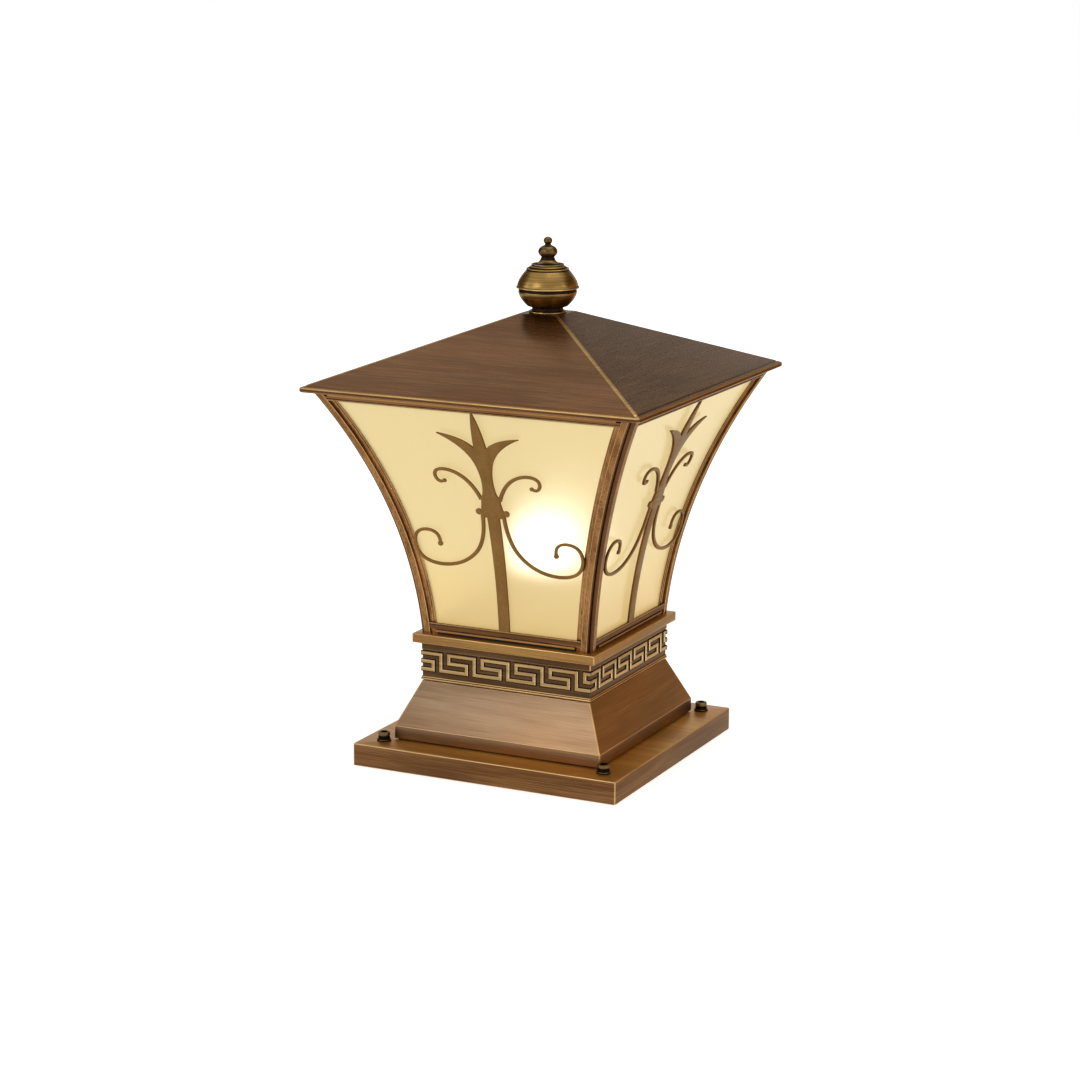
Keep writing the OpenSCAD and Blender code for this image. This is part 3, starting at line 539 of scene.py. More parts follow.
# ---- Fret band ----
FRET_W, FRET_STEP, FRET_H = 2.6, 6.9, 1.2
FRET_BEVEL, FRET_FOOT = 0.38, 0.7
# Places along one motif, as shares of the pitch
FRET_START, FRET_INNER, FRET_LAST = 0.327, 0.529, 0.76
MOTIFS = range(-3, 3)
fret_pitch = neck_half * 2 * 0.2026
fret_low = z_neck + 9.2


def fret_path():
    """Centre line of the fret on one face, as a run of corners from left to right."""
    inner, last = fret_pitch * FRET_INNER, fret_pitch * FRET_LAST
    low, middle, high = fret_low, fret_low + FRET_STEP, fret_low + 2 * FRET_STEP
    path = [(fret_pitch * (MOTIFS[0] + FRET_START) + last - fret_pitch, low)]
    for k in MOTIFS:
        x = fret_pitch * (k + FRET_START)
        path += [(x + inner, low), (x + inner, middle), (x, middle), (x, high), (x + last, high), (x + last, low)]
    return path


def mitred(path, offset):
    """The path moved sideways by an offset, with mitred corners; every corner is a right angle."""
    out = []
    for i, p in enumerate(path):
        a = path[max(i - 1, 0)]
        b = path[min(i + 1, len(path) - 1)]
        before = (Vector(p) - Vector(a)).normalized() if i else Vector((0, 0))
        after = (Vector(b) - Vector(p)).normalized() if i < len(path) - 1 else Vector((0, 0))
        n = Vector((-before.y - after.y, before.x + after.x))
        out.append(Vector(p) + n * offset)
    return out


def fret_bars():
    """The raised fret on all four faces of the neck, each line with chamfered sides."""
    half, shoulder = FRET_W / 2 + 0.1, FRET_H - FRET_BEVEL
    foot = half + FRET_FOOT
    section = [(-foot, 0.41), (-half, 0.6), (-half, shoulder), (-half + FRET_BEVEL, FRET_H),
               (half - FRET_BEVEL, FRET_H), (half, shoulder), (half, 0.6), (foot, 0.41), (foot, 0), (-foot, 0)]
    lines = [mitred(fret_path(), off) for off, _ in section]
    whole = bmesh.new()
    for quarter in range(4):
        bm = bmesh.new()
        rows = [[(line[i].x, -neck_half - section[k][1], line[i].y) for k, line in enumerate(lines)]
                for i in range(len(lines[0]))]
        verts, faces = tube_between(rows)
        made = [bm.verts.new(Vector(v) * MM) for v in verts]
        for f in faces:
            face = bm.faces.new([made[i] for i in f])
            least = min(-neck_half - verts[i][1] for i in f)
            # The first material on top, the third, a painted highlight, on the bevels, and the second, painted shade,
            # below them
            face.material_index = 0 if least > FRET_H - 0.01 else 2 if least > shoulder - 0.01 else 1
        bmesh.ops.recalc_face_normals(bm, faces=bm.faces)
        limit = (neck_half + (FRET_H if quarter % 2 == 0 else 0)) * MM
        for side in (-1, 1):
            cut = bisected(bm, (side * limit, 0, 0), (side, 0, 0), clear=True)
            open_edges = [e for e in cut["geom_cut"] if isinstance(e, bmesh.types.BMEdge)]
            bmesh.ops.holes_fill(bm, edges=open_edges, sides=0)
        bmesh.ops.rotate(bm, verts=bm.verts, matrix=Matrix.Rotation(math.radians(90 * quarter), 3, "Z"))
        part = bpy.data.meshes.new("fret_part")
        bm.to_mesh(part)
        whole.from_mesh(part)
        bm.free()
        bpy.data.meshes.remove(part)
    data = bpy.data.meshes.new("fret_bars")
    bmesh.ops.recalc_face_normals(whole, faces=whole.faces)
    whole.to_mesh(data)
    whole.free()
    for m in (fret_top, shade_and_patina, fret_edge_highlight):
        data.materials.append(m)
    place("fret_bars", data, "lantern", ["meander"])


fret_bars()

# ---- Base screws ----
SCREW_TURN = 48


def hex_ring(across, z):
    """Points on the outline of a hexagon, matched to as many points on a circle."""
    out = []
    for k in range(SCREW_TURN):
        a = 2 * math.pi * k / SCREW_TURN
        r = across / 2 / math.cos((a + math.pi / 6) % (math.pi / 3) - math.pi / 6)
        out.append((r * math.cos(a), r * math.sin(a), z))
    return out


def ring(r, z):
    """Points of a level circle."""
    angles = [2 * math.pi * k / SCREW_TURN for k in range(SCREW_TURN)]
    return [(r * math.cos(a), r * math.sin(a), z) for a in angles]


def at_screws(name, nodes, rows, wear_and_highlight_rows):
    """Copies of one solid built of rings, at the places of the four base screws, as one piece."""
    verts, faces, edge = [], [], []
    for cx in (-bolt_at, bolt_at):
        for cy in (-bolt_at, bolt_at):
            own_verts, own_faces = tube_between([[(cx + x, cy + y, z) for x, y, z in row] for row in rows])
            # The named rim rows take the lighter brass: a painted highlight over wear.
            edge += [len(faces) + i * SCREW_TURN + k for i in wear_and_highlight_rows for k in range(SCREW_TURN)]
            faces += [tuple(len(verts) + i for i in face) for face in own_faces]
            verts += own_verts
    mesh(name, verts, faces, "lantern", nodes, [black_brass, screw_rim], edge, smooth=35)


SHANK_R, HEAD_R, BORE_R = 3, 5, 3.2
SOCKET_ACROSS, SOCKET_DEPTH = 5, 3
screw_low, head_top = reach("base_screws")[0].z, reach("base_screws")[1].z
z_head = base_h + WASHER_T
at_screws("socket_screws", ["base_screws"], [
    ring(SHANK_R, screw_low), ring(SHANK_R, z_head), ring(4.6, z_head), ring(HEAD_R, z_head + 0.4),
    ring(HEAD_R, z_head + 2.0), ring(4.55, z_head + 2.3), ring(4.55, z_head + 2.9), ring(HEAD_R, z_head + 3.2),
    ring(HEAD_R, head_top - 0.8), ring(4.75, head_top - 0.25), ring(4.3, head_top), ring(3.2, head_top),
    hex_ring(SOCKET_ACROSS + 0.2, head_top - 0.4), hex_ring(SOCKET_ACROSS, head_top - SOCKET_DEPTH),
    hex_ring(1, head_top - SOCKET_DEPTH)], wear_and_highlight_rows=(2, 7, 8, 9, 10))
at_screws("screw_washers", ["base_washers"], [
    ring(BORE_R, base_h), ring(5.7, base_h), ring(WASHER_R, base_h + 0.3), ring(WASHER_R, base_h + 1.2),
    ring(5.6, base_h + WASHER_T), ring(BORE_R, base_h + WASHER_T)], wear_and_highlight_rows=(3,))

# ---- Lantern: posts, rails, glass and ornaments ----
BANDS = 56
POST_EASE = 0.55  # rounding of the outer edges


def corner_post(name, quarter):
    """One flared post: its section of depths behind the two faces is carried up the curve."""
    stile = POST_IN + STILE_W
    one_side = [(POST_IN, 0, POST_EASE), (POST_IN, STILE_BACK - 0.1), (stile, STILE_BACK, 0.3), (stile, EDGE_BACK),
                (POST_ALL, EDGE_BACK, 0.3), (POST_ALL, GLASS_FRONT), (POST_IN, GLASS_FRONT)]
    other_side = [(b, a, *ease) for a, b, *ease in one_side[::-1]]
    outline = [(NOTCH, 0, POST_EASE)] + one_side + [(POST_IN, POST_IN)] + other_side
    outline += [(0, NOTCH, POST_EASE), (NOTCH - CREASE, NOTCH), (NOTCH, NOTCH), (NOTCH, NOTCH - CREASE)]
    pts, edge_after = rounded(outline, True, EASE_STEPS)
    rows = [turned_about_z([(face_half(z, p.x), -face_half(z, p.y), z) for p in pts], quarter)
            for z in span(z_foot, z_crown, BANDS)]
    verts, faces = tube_between(rows)
    # The roundings take wear with a painted highlight.
    lit = [f for f in range(len(faces) - 2) if edge_after[f % len(pts)]]
    obj = mesh(name + "_flared", verts, faces, "lantern", [name], [brass_upright, wear_and_highlight, shade_and_patina, notch_brass], lit,
               30, flat=False)
    darken_notch(obj, quarter)


def darken_notch(obj, quarter):
    """The faces of a post's notch take a duller brass, and its crease takes painted shade."""
    for p in obj.data.polygons:
        x, y, z = turned_about_z([tuple(p.center / MM)], (4 - quarter) % 4)[0]
        u, v = depth_behind(x, z), depth_behind(-y, z)
        if max(u, v) < NOTCH + 0.3 and abs(p.normal.z) < 0.7:
            p.material_index = DARK if min(u, v) > NOTCH - CREASE - 0.1 else EXTRA


def depth_behind(half, z):
    """Depth behind the flared face of a point at a half width and height."""
    return math.hypot(curve_h - half, z - curve_z) - FLARE_R


QUARTERS = {"front": 0, "right": 1, "back": 2, "left": 3}
for corner, quarter in (("front_right", 0), ("back_right", 1), ("back_left", 2), ("front_left", 3)):
    corner_post("corner_post_" + corner, quarter)


def rail(profile, side_gap):
    """A rail between the posts on one side: its section of (depth, height) is carried across."""
    pts, edge_after = rounded(profile, True, EASE_STEPS)
    verts, faces = tube_between([[(s * face_half(p.y, side_gap), -face_half(p.y, p.x), p.y) for p in pts]
                                 for s in span(-1, 1, 8)])
    lit = {f: edge_after[f % len(pts)] for f in range(len(faces) - 2) if edge_after[f % len(pts)]}
    return verts, faces, lit


def four_rails(profiles):
    """The same rails on all four sides."""
    verts, faces, lit = [], [], {}
    for profile, gap in profiles:
        v, f, e = rail(profile, gap)
        for quarter in range(4):
            start = len(verts)
            verts += turned_about_z(v, quarter)
            lit.update({len(faces) + i: code for i, code in e.items()})
            faces += [tuple(start + i for i in face) for face in f]
    return verts, faces, lit


def frame_piece(name, node, profiles, z0, z1, hole):
    """A lantern frame: rails on four sides, and a flat plate with a square hole that leaves out the posts."""
    verts, faces, lit = four_rails(profiles)
    start = len(verts)
    for z in (z0, z1):
        w = face_half(z)
        p, g, i = (w - d - FIT for d in (POST_ALL, GLASS_FRONT, POST_IN))
        outline = [(-p, -w, z), (p, -w, z), (p, -g, z), (i, -g, z), (i, -i, z), (g, -i, z), (g, -p, z)]
        for quarter in range(4):
            verts += turned_about_z(outline, quarter)
        for quarter in range(4):
            verts += turned_about_z([(hole, -hole, z)], quarter)
    per = len(outline)
    rim = 4 * per
    level = rim + 4
    for k in range(rim):
        m = (k + 1) % rim
        # The plate's outer edge takes the softer painted highlight over wear.
        if k % per == 0:
            lit[len(faces)] = EXTRA
        faces.append((start + k, start + m, start + level + m, start + level + k))
    for quarter in range(4):
        inner, before = start + rim + quarter, start + rim + (quarter + 3) % 4
        faces.append((before, inner, inner + level, before + level))
        for up in (0, level):
            outer = [start + up + (quarter * per + k) % rim for k in range(1, per + 1)]
            faces.append((start + up + quarter * per, outer[0], inner + up, before + up))
            faces.append((*outer, inner + up))
    mesh(name, verts, faces, "lantern", [node], [brass, wear_and_highlight, shade_and_patina, soft_wear_and_highlight], lit, 30, flat=False)


def inner_rail(low, high):
    """The bar behind the glass, and its gap to the corner."""
    back = GLASS_BACK + 1.5
    return [(back, low), (GLASS_BACK, low), (GLASS_BACK, high), (back, high)], POST_ALL + 0.4


z_band = z_glass + 1.1
# In each rail the roundings take wear with a painted highlight, and the groove takes painted shade.
frame_piece("bottom_rails", "bottom_frame", [
    ([(STILE_BACK, z_glass), (1.3, z_glass), (1.3, z_band), (0.4, z_band, 0.2), (0.4, z_rail - 1.7, 0, DARK),
      (1.0, z_rail - 1.7, 0, DARK), (1.0, z_rail - 1.25, 0, DARK), (0.0, z_rail - 1.2, 0.3), (0.0, z_rail, 0.45),
      (STILE_BACK, z_rail)], POST_IN + FIT), inner_rail(z_glass, z_rail)], z_floor, z_glass, 18)
z = z_rail_top
frame_piece("top_rails", "top_frame", [
    ([(STILE_BACK, z), (0.0, z, 0.4), (0.0, z + 1.2, 0.3), (1.0, z + 1.25, 0, DARK), (1.0, z + 1.8, 0, DARK),
      (0.4, z + 1.8), (0.4, z_crown_in), (STILE_BACK, z_crown_in)], POST_IN + FIT),
    inner_rail(z - 2, z_crown_in)], z_crown_in, z_crown, crown_half - 25.3)


def weep_slots():
    """Painted shade of slots in the groove of the bottom rail: black sheets, three on each side."""
    half_w, z0, z1 = 4, z_glass + 0.15, z_band - 0.1
    verts, faces = [], []
    for quarter in range(4):
        for x in (-36, 0, 36):
            rows = [[(x - half_w, -face_half(z0, depth), z0), (x + half_w, -face_half(z0, depth), z0),
                     (x + half_w, -face_half(z1, depth), z1), (x - half_w, -face_half(z1, depth), z1)]
                    for depth in (1.22, 2.2)]
            own_verts, own_faces = tube_between(rows)
            faces += [tuple(len(verts) + i for i in face) for face in own_faces]
            verts += turned_about_z(own_verts, quarter)
    mesh("weep_slot_painted_shade", verts, faces, "lantern", [], [rubber])


weep_slots()


def glass_panel(name, quarter):
    """A curved panel, bowed with the face and set behind the stiles."""
    inset = POST_IN + 1.4
    across, up = 24, 48
    verts = []
    for depth in (GLASS_FRONT, GLASS_BACK):
        for z in span(z_glass, z_crown_in, up):
            w = face_half(z, inset)
            verts += [(s * w, -face_half(z, depth), z) for s in span(-1, 1, across)]
    row = across + 1
    to_back = (up + 1) * row
    faces = []
    for i in range(up):
        for k in range(across):
            a = i * row + k
            b = a + to_back
            faces += [(a, a + 1, a + row + 1, a + row), (b, b + row, b + row + 1, b + 1)]
        for a in (i * row, i * row + across):
            faces.append((a, a + row, a + row + to_back, a + to_back))
    for k in range(across):
        for a in (k, up * row + k):
            faces.append((a, a + to_back, a + to_back + 1, a + 1))
    mesh(name + "_panel", turned_about_z(verts, quarter), faces, "lantern", [name], [glass], smooth=50)


for face, quarter in QUARTERS.items():
    glass_panel("glass_" + face, quarter)

# ---- Ornament ----
# Its outlines are given from the lantern's foot and middle line, for a lantern of this height
# with this room between the middle and the post, at the height of the widest scrolls
LANTERN_H, SCROLL_ROOM, SCROLL_Z = 207.2, 76.4, 79
orn_x = (face_half(z_foot + SCROLL_Z) - POST_ALL) / SCROLL_ROOM
orn_z = (z_crown - z_foot) / LANTERN_H
PLATE_HALF, PLATE_EASE, PLATE_DEPTH = 1.0, 0.35, 1.4


def pen(points, w0, w1):
    """Outline of a tapered ribbon drawn along a line of points."""
    n = len(points) - 1
    left, right = [], []
    for i, p in enumerate(points):
        a, b = Vector(points[max(i - 1, 0)]), Vector(points[min(i + 1, n)])
        d = (b - a).normalized() * (w0 + (w1 - w0) * i / n) / 2
        left.append((p[0] - d.y, p[1] + d.x))
        right.append((p[0] + d.y, p[1] - d.x))
    return left + right[::-1]


def run(*curves):
    """Several curves joined end to end."""
    out = list(curves[0])
    for c in curves[1:]:
        out += c[1:]
    return out


def disc(x, z, r):
    """Outline of a round knop."""
    angles = [2 * math.pi * k / 16 for k in range(16)]
    return [(x + r * math.cos(a), z + r * math.sin(a)) for a in angles]


FLOWER = run([(5, 9), (5, 50), (5.5, 109.2), (10.6, 109.2), (10.8, 113)],
             bend_line((10.8, 113), (8.6, 120), (8.2, 127), 6), [(8.2, 127), (6.2, 130)],
             bend_line((6.2, 130), (3.6, 141), (6.6, 152), 8),
             bend_line((6.6, 152), (10.5, 170), (36.5, 181.2), 14), [(36.5, 181.2), (36.2, 182)],
             bend_line((36.2, 182), (14, 179.5), (5.5, 171), 10),
             bend_line((5.5, 171), (4.6, 188), (0.25, 203), 8))
UPPER = run(bend_line((8.4, 125), (15, 141.5), (27.5, 146.8), 12),
            bend_line((27.5, 146.8), (35, 150), (42, 148.6), 8),
            bend_line((42, 148.6), (48, 147), (46.8, 141.4), 8),
            bend_line((46.8, 141.4), (44.8, 136), (39.6, 138.4), 8))
LOWER = run(bend_line((9.6, 110.8), (10, 87), (21.2, 76), 14),
            bend_line((21.2, 76), (33.5, 63.6), (53, 63.2), 14),
            bend_line((53, 63.2), (74.8, 63.6), (76.2, 80), 14),
            bend_line((76.2, 80), (75.8, 92.4), (63.6, 92.8), 10),
            bend_line((63.6, 92.8), (52, 92.6), (52.5, 82), 10))


def outlines():
    """The outlines of the ornament: stem and flower, then scrolls and knops on both sides."""
    one_side = [pen(UPPER, 3.1, 2.4), pen(LOWER, 3.1, 2.5), disc(12.3, 114, 2.8), disc(39.2, 138.7, 1.7),
                disc(52.6, 81.4, 2.2)]
    shapes = [FLOWER + [(-x, z) for x, z in FLOWER[::-1]]]
    for sign in (1, -1):
        shapes += [[(sign * x, z) for x, z in outline] for outline in one_side]
    return shapes


def eased_plate(outline):
    """A flat plate with eased edges, as a curve object."""
    curve = bpy.data.curves.new("outline", "CURVE")
    curve.dimensions = "2D"
    curve.fill_mode = "BOTH"
    curve.extrude = (PLATE_HALF - PLATE_EASE) * MM
    curve.bevel_depth = PLATE_EASE * MM
    curve.offset = -PLATE_EASE * MM
    curve.bevel_resolution = 1
    line = curve.splines.new("POLY")
    line.points.add(len(outline) - 1)
    for point, (x, z) in zip(line.points, outline):
        point.co = (x * orn_x * MM, (z_foot + z * orn_z) * MM, 0, 1)
    line.use_cyclic_u = True
    return linked("outline", curve)


def ornament(name, quarter):
    """A flat cut-out with eased edges, bowed to lie on the face of the frame."""
    whole = bmesh.new()
    for outline in outlines():
        holder = eased_plate(outline)
        curve = holder.data
        bpy.context.view_layer.update()
        whole.from_mesh(holder.to_mesh())
        holder.to_mesh_clear()
        bpy.data.objects.remove(holder)
        bpy.data.curves.remove(curve)
    bmesh.ops.remove_doubles(whole, verts=whole.verts, dist=2 * WELD)
    for z in span(z_rail, z_rail_top, 40)[1:-1]:
        bisected(whole, (0, z * MM, 0), (0, 1, 0))
    for z, sign in ((z_rail, -1), (z_rail_top, 1)):
        bisected(whole, (0, z * MM, 0), (0, sign, 0), clear=True)
    for f in whole.faces:
        f.smooth = True
        # The cut edges take the darker copy: painted shade.
        if abs(f.normal.z) < 0.9:
            f.material_index = 1
    for v in whole.verts:
        x, z, lift = v.co / MM
        v.co = Vector(turned_about_z([(x, -face_half(z, PLATE_DEPTH - lift), z)], quarter)[0]) * MM
    data = bpy.data.meshes.new(name)
    whole.to_mesh(data)
    whole.free()
    data.materials.append(brass_ornament)
    data.materials.append(ornament_edge_shade)
    data.set_sharp_from_angle(angle=math.radians(35))
    place(name + "_cutout", data, "lantern", [name])


for face, quarter in QUARTERS.items():
    ornament("ornament_" + face, quarter)

# ---- Roof ----
CAP_HALF, CAP_HOLE, EAVE_H = 18, 6, 4
z_slope = z_eave + EAVE_H
slope = (z_cap - z_slope) / (roof_half - CAP_HALF)
skin = ROOF_SHEET * math.hypot(1, slope)
under = roof_half - ROOF_SHEET
soffit = crown_half - 13.3
# The eave's edges, the cap's edge and the hips take wear with a painted highlight; the band under the top bead takes
# painted shade, the dark eave_shade, which the level top and underside take too.
pan("roof_skin", [
    (soffit, z_eave), (roof_half - 0.5, z_eave, 0.3), (roof_half, z_eave + 0.7, 0.3),
    (roof_half, z_eave + 1.2, 0, DARK), (roof_half, z_slope - 0.2, 1.4), (roof_half - 2.6, z_slope + 0.7, 0.8),
    (roof_half - 3.4, z_slope + 0.7, 0.3, 0), (roof_half - 4.4, z_slope + 4.4 * slope, 0.5, 0),
    (CAP_HALF, z_cap, 0.8), (CAP_HOLE, z_cap), (CAP_HOLE, z_cap - ROOF_SHEET),
    (CAP_HALF - 0.3, z_cap - ROOF_SHEET), (under, z_slope + ROOF_SHEET * slope - skin),
    (under, z_eave + ROOF_SHEET), (soffit, z_eave + ROOF_SHEET)],
    "roof", ["roof_shell"], [brass_roof, roof_wear_and_highlight, eave_shade], corner=2.4, steps=5)

# ---- Finial ----
HOLE = 4.8
WALL = 1.5
# Turned brass: the roundings take a painted highlight over wear, and the grooves, the undersides of the rings, the
# necks and the low part of the bowl take painted shade.
GOLD = [polished, polished_wear_and_highlight, shade_and_patina]
k = reach("finial_dome")[1].x / 26.3  # its sizes are given for a radius of 26.3


def dark_if(is_dark):
    return DARK if is_dark else 0


def bowl_at(t):
    """Radius of the bowl at a share of its height."""
    return (14.3 + 9.9 * (1 - (1 - t) ** 1.7)) * k


def dome_at(t):
    """Radius of the dome at a share of its height."""
    return (25.2 - 7.6 * t ** 1.6) * k


def oval(cz, rx, rz, a0, a1, n):
    """Profile of an oval, from one angle to another."""
    return [(rx * math.cos(math.radians(a)), cz + rz * math.sin(math.radians(a))) for a in span(a0, a1, n)]


z, top = reach("finial_foot")[0].z, reach("finial_foot")[1].z
lathe("foot_turned", [
    (HOLE, z), (13.3, z), (13.3, z_cap + 0.1), (15.3, z_cap + 0.1), (15.7, z_cap + 0.6, 0.3),
    (15.5, z_cap + 1.3, 0.2), (15.0, z_cap + 1.5, 0, DARK), (14.4, z_cap + 1.6), (13.4, z + 1.2, 0, DARK),
    (12.9, z + 2.0, 0, DARK), (12.8, top), (HOLE, top)], "finial", ["finial_foot"], GOLD)

z, top = reach("finial_bowl")[0].z, reach("finial_bowl")[1].z
curve, rim = 13.8 * k, 25.2 * k
lathe("bowl_turned", [
    (HOLE, z), (12.8, z, 0, DARK), (12.9, z + 0.9), (13.7, z + 1.2, 0.2), (13.6, z + 1.6, 0, DARK),
    (13.2, z + 1.9, 0, DARK), (13.6, z + 2.1, 0, DARK)] +
    [(bowl_at(t), z + curve * t, 0, dark_if(t < 0.2)) for t in span(0.17, 1, 22)] +
    [(rim - 1.0, z + curve + 0.5, 0, DARK), (rim - 1.3, z + curve + 0.9, 0, DARK), (rim - 1.3, top),
     (rim - 2.4, top)] +
    [(bowl_at(t) - WALL, z + curve * t) for t in span(1, 0.1, 12)] + [(11.5, z + 1.2), (HOLE, z + 1.2)],
    "finial", ["finial_bowl"], GOLD)

z, top = reach("finial_dome")[0].z, reach("finial_dome")[1].z
rim = reach("finial_dome")[1].x
lathe("dome_turned", [
    (23 * k, z, 0, DARK), (rim - 0.9, z, 0, DARK), (rim - 0.4, z + 0.25), (rim, z + 0.95, 0.5),
    (rim - 0.8, z + 1.6, 0, DARK), (25.0 * k, z + 1.9 * k)] +
    [(dome_at(t), z + (2 + 13.1 * t) * k, 0, dark_if(t > 0.955)) for t in span(0.06, 1, 24)] +
    [(17.2 * k, z + 15.3 * k, 0, DARK), (17.4 * k, z + 15.6 * k), (17.9 * k, z + 16.0 * k, 0.35),
     (17.5 * k, z + 16.5 * k, 0.3, 0), (16.0 * k, z + 16.6 * k, 0, DARK)] +
    [(r * k, z + h * k, 0, dark_if(h < 17.6)) for r, h in bend_line((15.7, 17.1), (14.8, 18.3), (13.0, 18.8), 6)] +
    [(12.9 * k, z + 18.9 * k, 0, DARK), (13.1 * k, z + 19.1 * k), (13.7 * k, z + 19.4 * k, 0.25),
     (13.5 * k, z + 19.9 * k, 0.2, 0), (12.6 * k, z + 20.0 * k, 0, DARK)] +
    [(r * k, z + h * k, 0, dark_if(h < 20.6 or h > 23))
     for r, h in bend_line((11.6, 20.1), (6.5, 21.0), (5.6, 25.0), 12)] +
    [(3, top), (3, z + 13.5 * k)] +
    [(dome_at(t) - WALL, z + (1.4 + 13.1 * t) * k) for t in span(0.85, 0.1, 12)],
    "finial", ["finial_dome"], GOLD)

z = reach("finial_knob")[0].z
ball = oval(z + 5 * k, 8 * k, 5.6 * k, -48, 66, 24)
# The foot, the underside of the ball and the neck take painted shade.
lathe("knob_turned", [(0.01, z), (5.6 * k, z, 0, DARK), (5.3 * k, z + 0.5, 0, DARK)] +
      [p + (0, DARK) for p in ball[:2]] + ball[2:] + [(2.2 * k, z + 11.2 * k, 0.5, DARK)] +
      oval(z + 14 * k, 3.7 * k, 3.2 * k, -42, 89.5, 16),
      "finial", ["finial_knob"], [polished_dark, polished_dark, shade_and_patina], closed=False)

# ---- Bulb ----
globe_r, globe_wall = reach("bulb_globe")[1].x, 1
z_globe = reach("bulb_globe")[1].z - globe_r
lathe("globe_blown", oval(z_globe, globe_r, globe_r, -34.5, 89.5, 40) +
      oval(z_globe, globe_r - globe_wall, globe_r - globe_wall, 89.5, -34.5, 40),
      "bulb", ["bulb_globe"], [globe], turn=64)

# ---- Floor, light and camera ----
WHITE = (1, 1, 1)
FLOOR_GLOW = 0.66  # what the lamps leave the floor short of white
CLEAR_FROM, CLEAR_AT = 0.6, 0.9  # distances at which the floor goes over to plain white, past the shadow


def quad(name, corners, material):
    """A flat sheet of the stage."""
    data = bpy.data.meshes.new(name)
    data.from_pydata(corners, [], [(0, 1, 2, 3)])
    data.materials.append(material)
    obj = linked(name, data)
    return obj


def backdrop():
    """Pale floor that reads white and keeps the object's shadow."""
    t = Nodes("pale_floor")
    path = t.new("ShaderNodeLightPath")
    seen = t.math("MAXIMUM", path.outputs["Is Camera Ray"], path.outputs["Is Glossy Ray"])
    seen = t.math("MAXIMUM", seen, path.outputs["Is Transmission Ray"])
    away = t.new("ShaderNodeVectorMath", operation="LENGTH")
    t.link(t.coord, away.inputs[0])
    past_shadow = t.ramp(away.outputs["Value"], [(CLEAR_FROM, 0.0), (CLEAR_AT, 1 - FLOOR_GLOW)])
    t.set(Base_Color=t.ramp(t.noise(3, detail=2), [(0.3, (0.9, 0.9, 0.9)), (0.7, (0.93, 0.93, 0.93))]),
          Roughness=0.9, Emission_Color=WHITE,
          Emission_Strength=t.math("ADD", t.math("MULTIPLY", seen, FLOOR_GLOW),
                                   t.math("MULTIPLY", path.outputs["Is Camera Ray"], past_shadow)))
    half = 6.0
    floor = quad("floor", [(-half, -half, 0), (half, -half, 0), (half, half, 0), (-half, half, 0)], t.mat)
    floor.location.z = -0.0005  # just below the seat, so the two don't share a plane


def sky():
    """Even light all round, which the camera, gloss and glass see as white."""
    world = bpy.data.worlds.new("studio")
    bpy.context.scene.world = world
    world.use_nodes = True
    tree = world.node_tree
    path = tree.nodes.new("ShaderNodeLightPath")
    seen = path.outputs["Is Camera Ray"]
    for name in ("Is Glossy Ray", "Is Transmission Ray"):
        m = tree.nodes.new("ShaderNodeMath")
        m.operation = "MAXIMUM"
        tree.links.new(seen, m.inputs[0])
        tree.links.new(path.outputs[name], m.inputs[1])
        seen = m.outputs[0]
    strength = tree.nodes.new("ShaderNodeMapRange")
    strength.inputs["To Min"].default_value = 0.35
    strength.inputs["To Max"].default_value = 1.0
    tree.links.new(seen, strength.inputs["Value"])
    back = tree.nodes["Background"]
    tree.links.new(strength.outputs[0], back.inputs["Strength"])
    back.inputs["Color"].default_value = (*WHITE, 1)


def area(name, at, aim, size, power, tall=None):
    """A soft lamp, square unless its height is given too."""
    light = bpy.data.lights.new(name, "AREA")
    light.energy, light.size = power, size
    if tall:
        light.shape, light.size_y = "RECTANGLE", tall
    obj = linked(name, light)
    obj.location = at
    obj.rotation_euler = (Vector(aim) - Vector(at)).to_track_quat("-Z", "Y").to_euler()


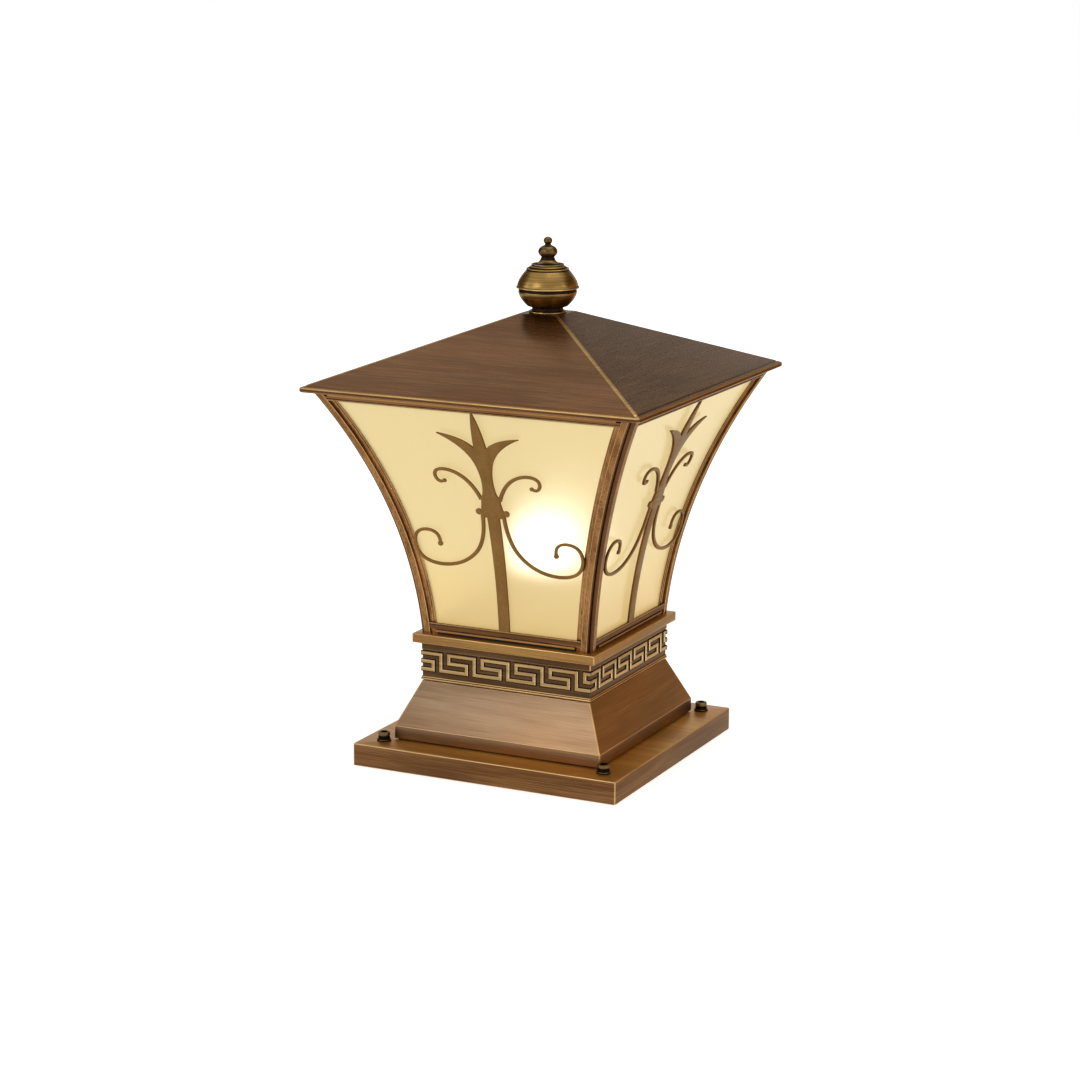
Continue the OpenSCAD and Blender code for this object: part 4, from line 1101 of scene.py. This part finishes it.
def flag(name, ends, low, high, colour):
    """A coloured card outside the picture, which the brass reflects and the camera doesn't see."""
    (x0, y0), (x1, y1) = ends
    sheet = quad(name, [(x0, y0, low), (x1, y1, low), (x1, y1, high), (x0, y0, high)],
                 plain(name, colour, rough=0.9, Emission_Color=colour, Emission_Strength=0.5))
    sheet.visible_camera = False


backdrop()
sky()
WARM, GREY, DIM = (0.62, 0.32, 0.08), (0.34, 0.33, 0.32), (0.1, 0.07, 0.04)
flag("flag_right", ((0.27, 1.25), (1.4, 0.3)), 0, 0.75, WARM)
flag("flag_high", ((0.3, 1.25), (1.42, 0.32)), 0.75, 1.5, DIM)
flag("flag_left", ((-1.5, -0.5), (-1.35, 0.7)), 0, 1.5, DIM)
flag("flag_far", ((-1.35, 0.7), (-1.9, 1.6)), 0, 1.5, DIM)
flag("flag_back", ((-1.0, 1.2), (0.27, 1.25)), 0.68, 1.5, GREY)
area("key", (-0.7, -1.85, 1.35), (0, 0, 0.15), 0.9, 8)
area("strip_left", (-1.44, -0.72, 0.75), (0, 0, 0.4), 0.3, 2, tall=1.0)
area("strip_right", (1.62, 0.1, 1.0), (0, 0, 0.4), 0.25, 1.4, tall=0.8)
area("top", (0.2, 0.3, 2.4), (0, 0, 0.2), 1.4, 12)
area("fill", (2.2, -0.9, 1.0), (0, 0, 0.2), 1.2, 4)

FOCAL_PX, PHOTO_PX, SENSOR = 2904.2, 1080, 36.0
AZIMUTH, ELEVATION, ROLL = math.radians(25.903), math.radians(12.930), math.radians(0.261)
CAMERA_AT = (1.03372, -2.14097, 0.72665)


def camera():
    """The camera that the photo was fitted to."""
    back = Vector((math.sin(AZIMUTH) * math.cos(ELEVATION), -math.cos(AZIMUTH) * math.cos(ELEVATION),
                   math.sin(ELEVATION)))
    right = Vector((math.cos(AZIMUTH), math.sin(AZIMUTH), 0))
    up = back.cross(right)
    c, s = math.cos(ROLL), math.sin(ROLL)
    axes = (c * right + s * up, c * up - s * right, back)
    data = bpy.data.cameras.new("camera")
    data.sensor_width = SENSOR
    data.lens = FOCAL_PX / PHOTO_PX * SENSOR
    obj = linked("camera", data)
    obj.matrix_world = Matrix.Translation(CAMERA_AT) @ Matrix(axes).transposed().to_4x4()
    bpy.context.scene.camera = obj


camera()
bpy.context.scene.view_settings.view_transform = "Standard"
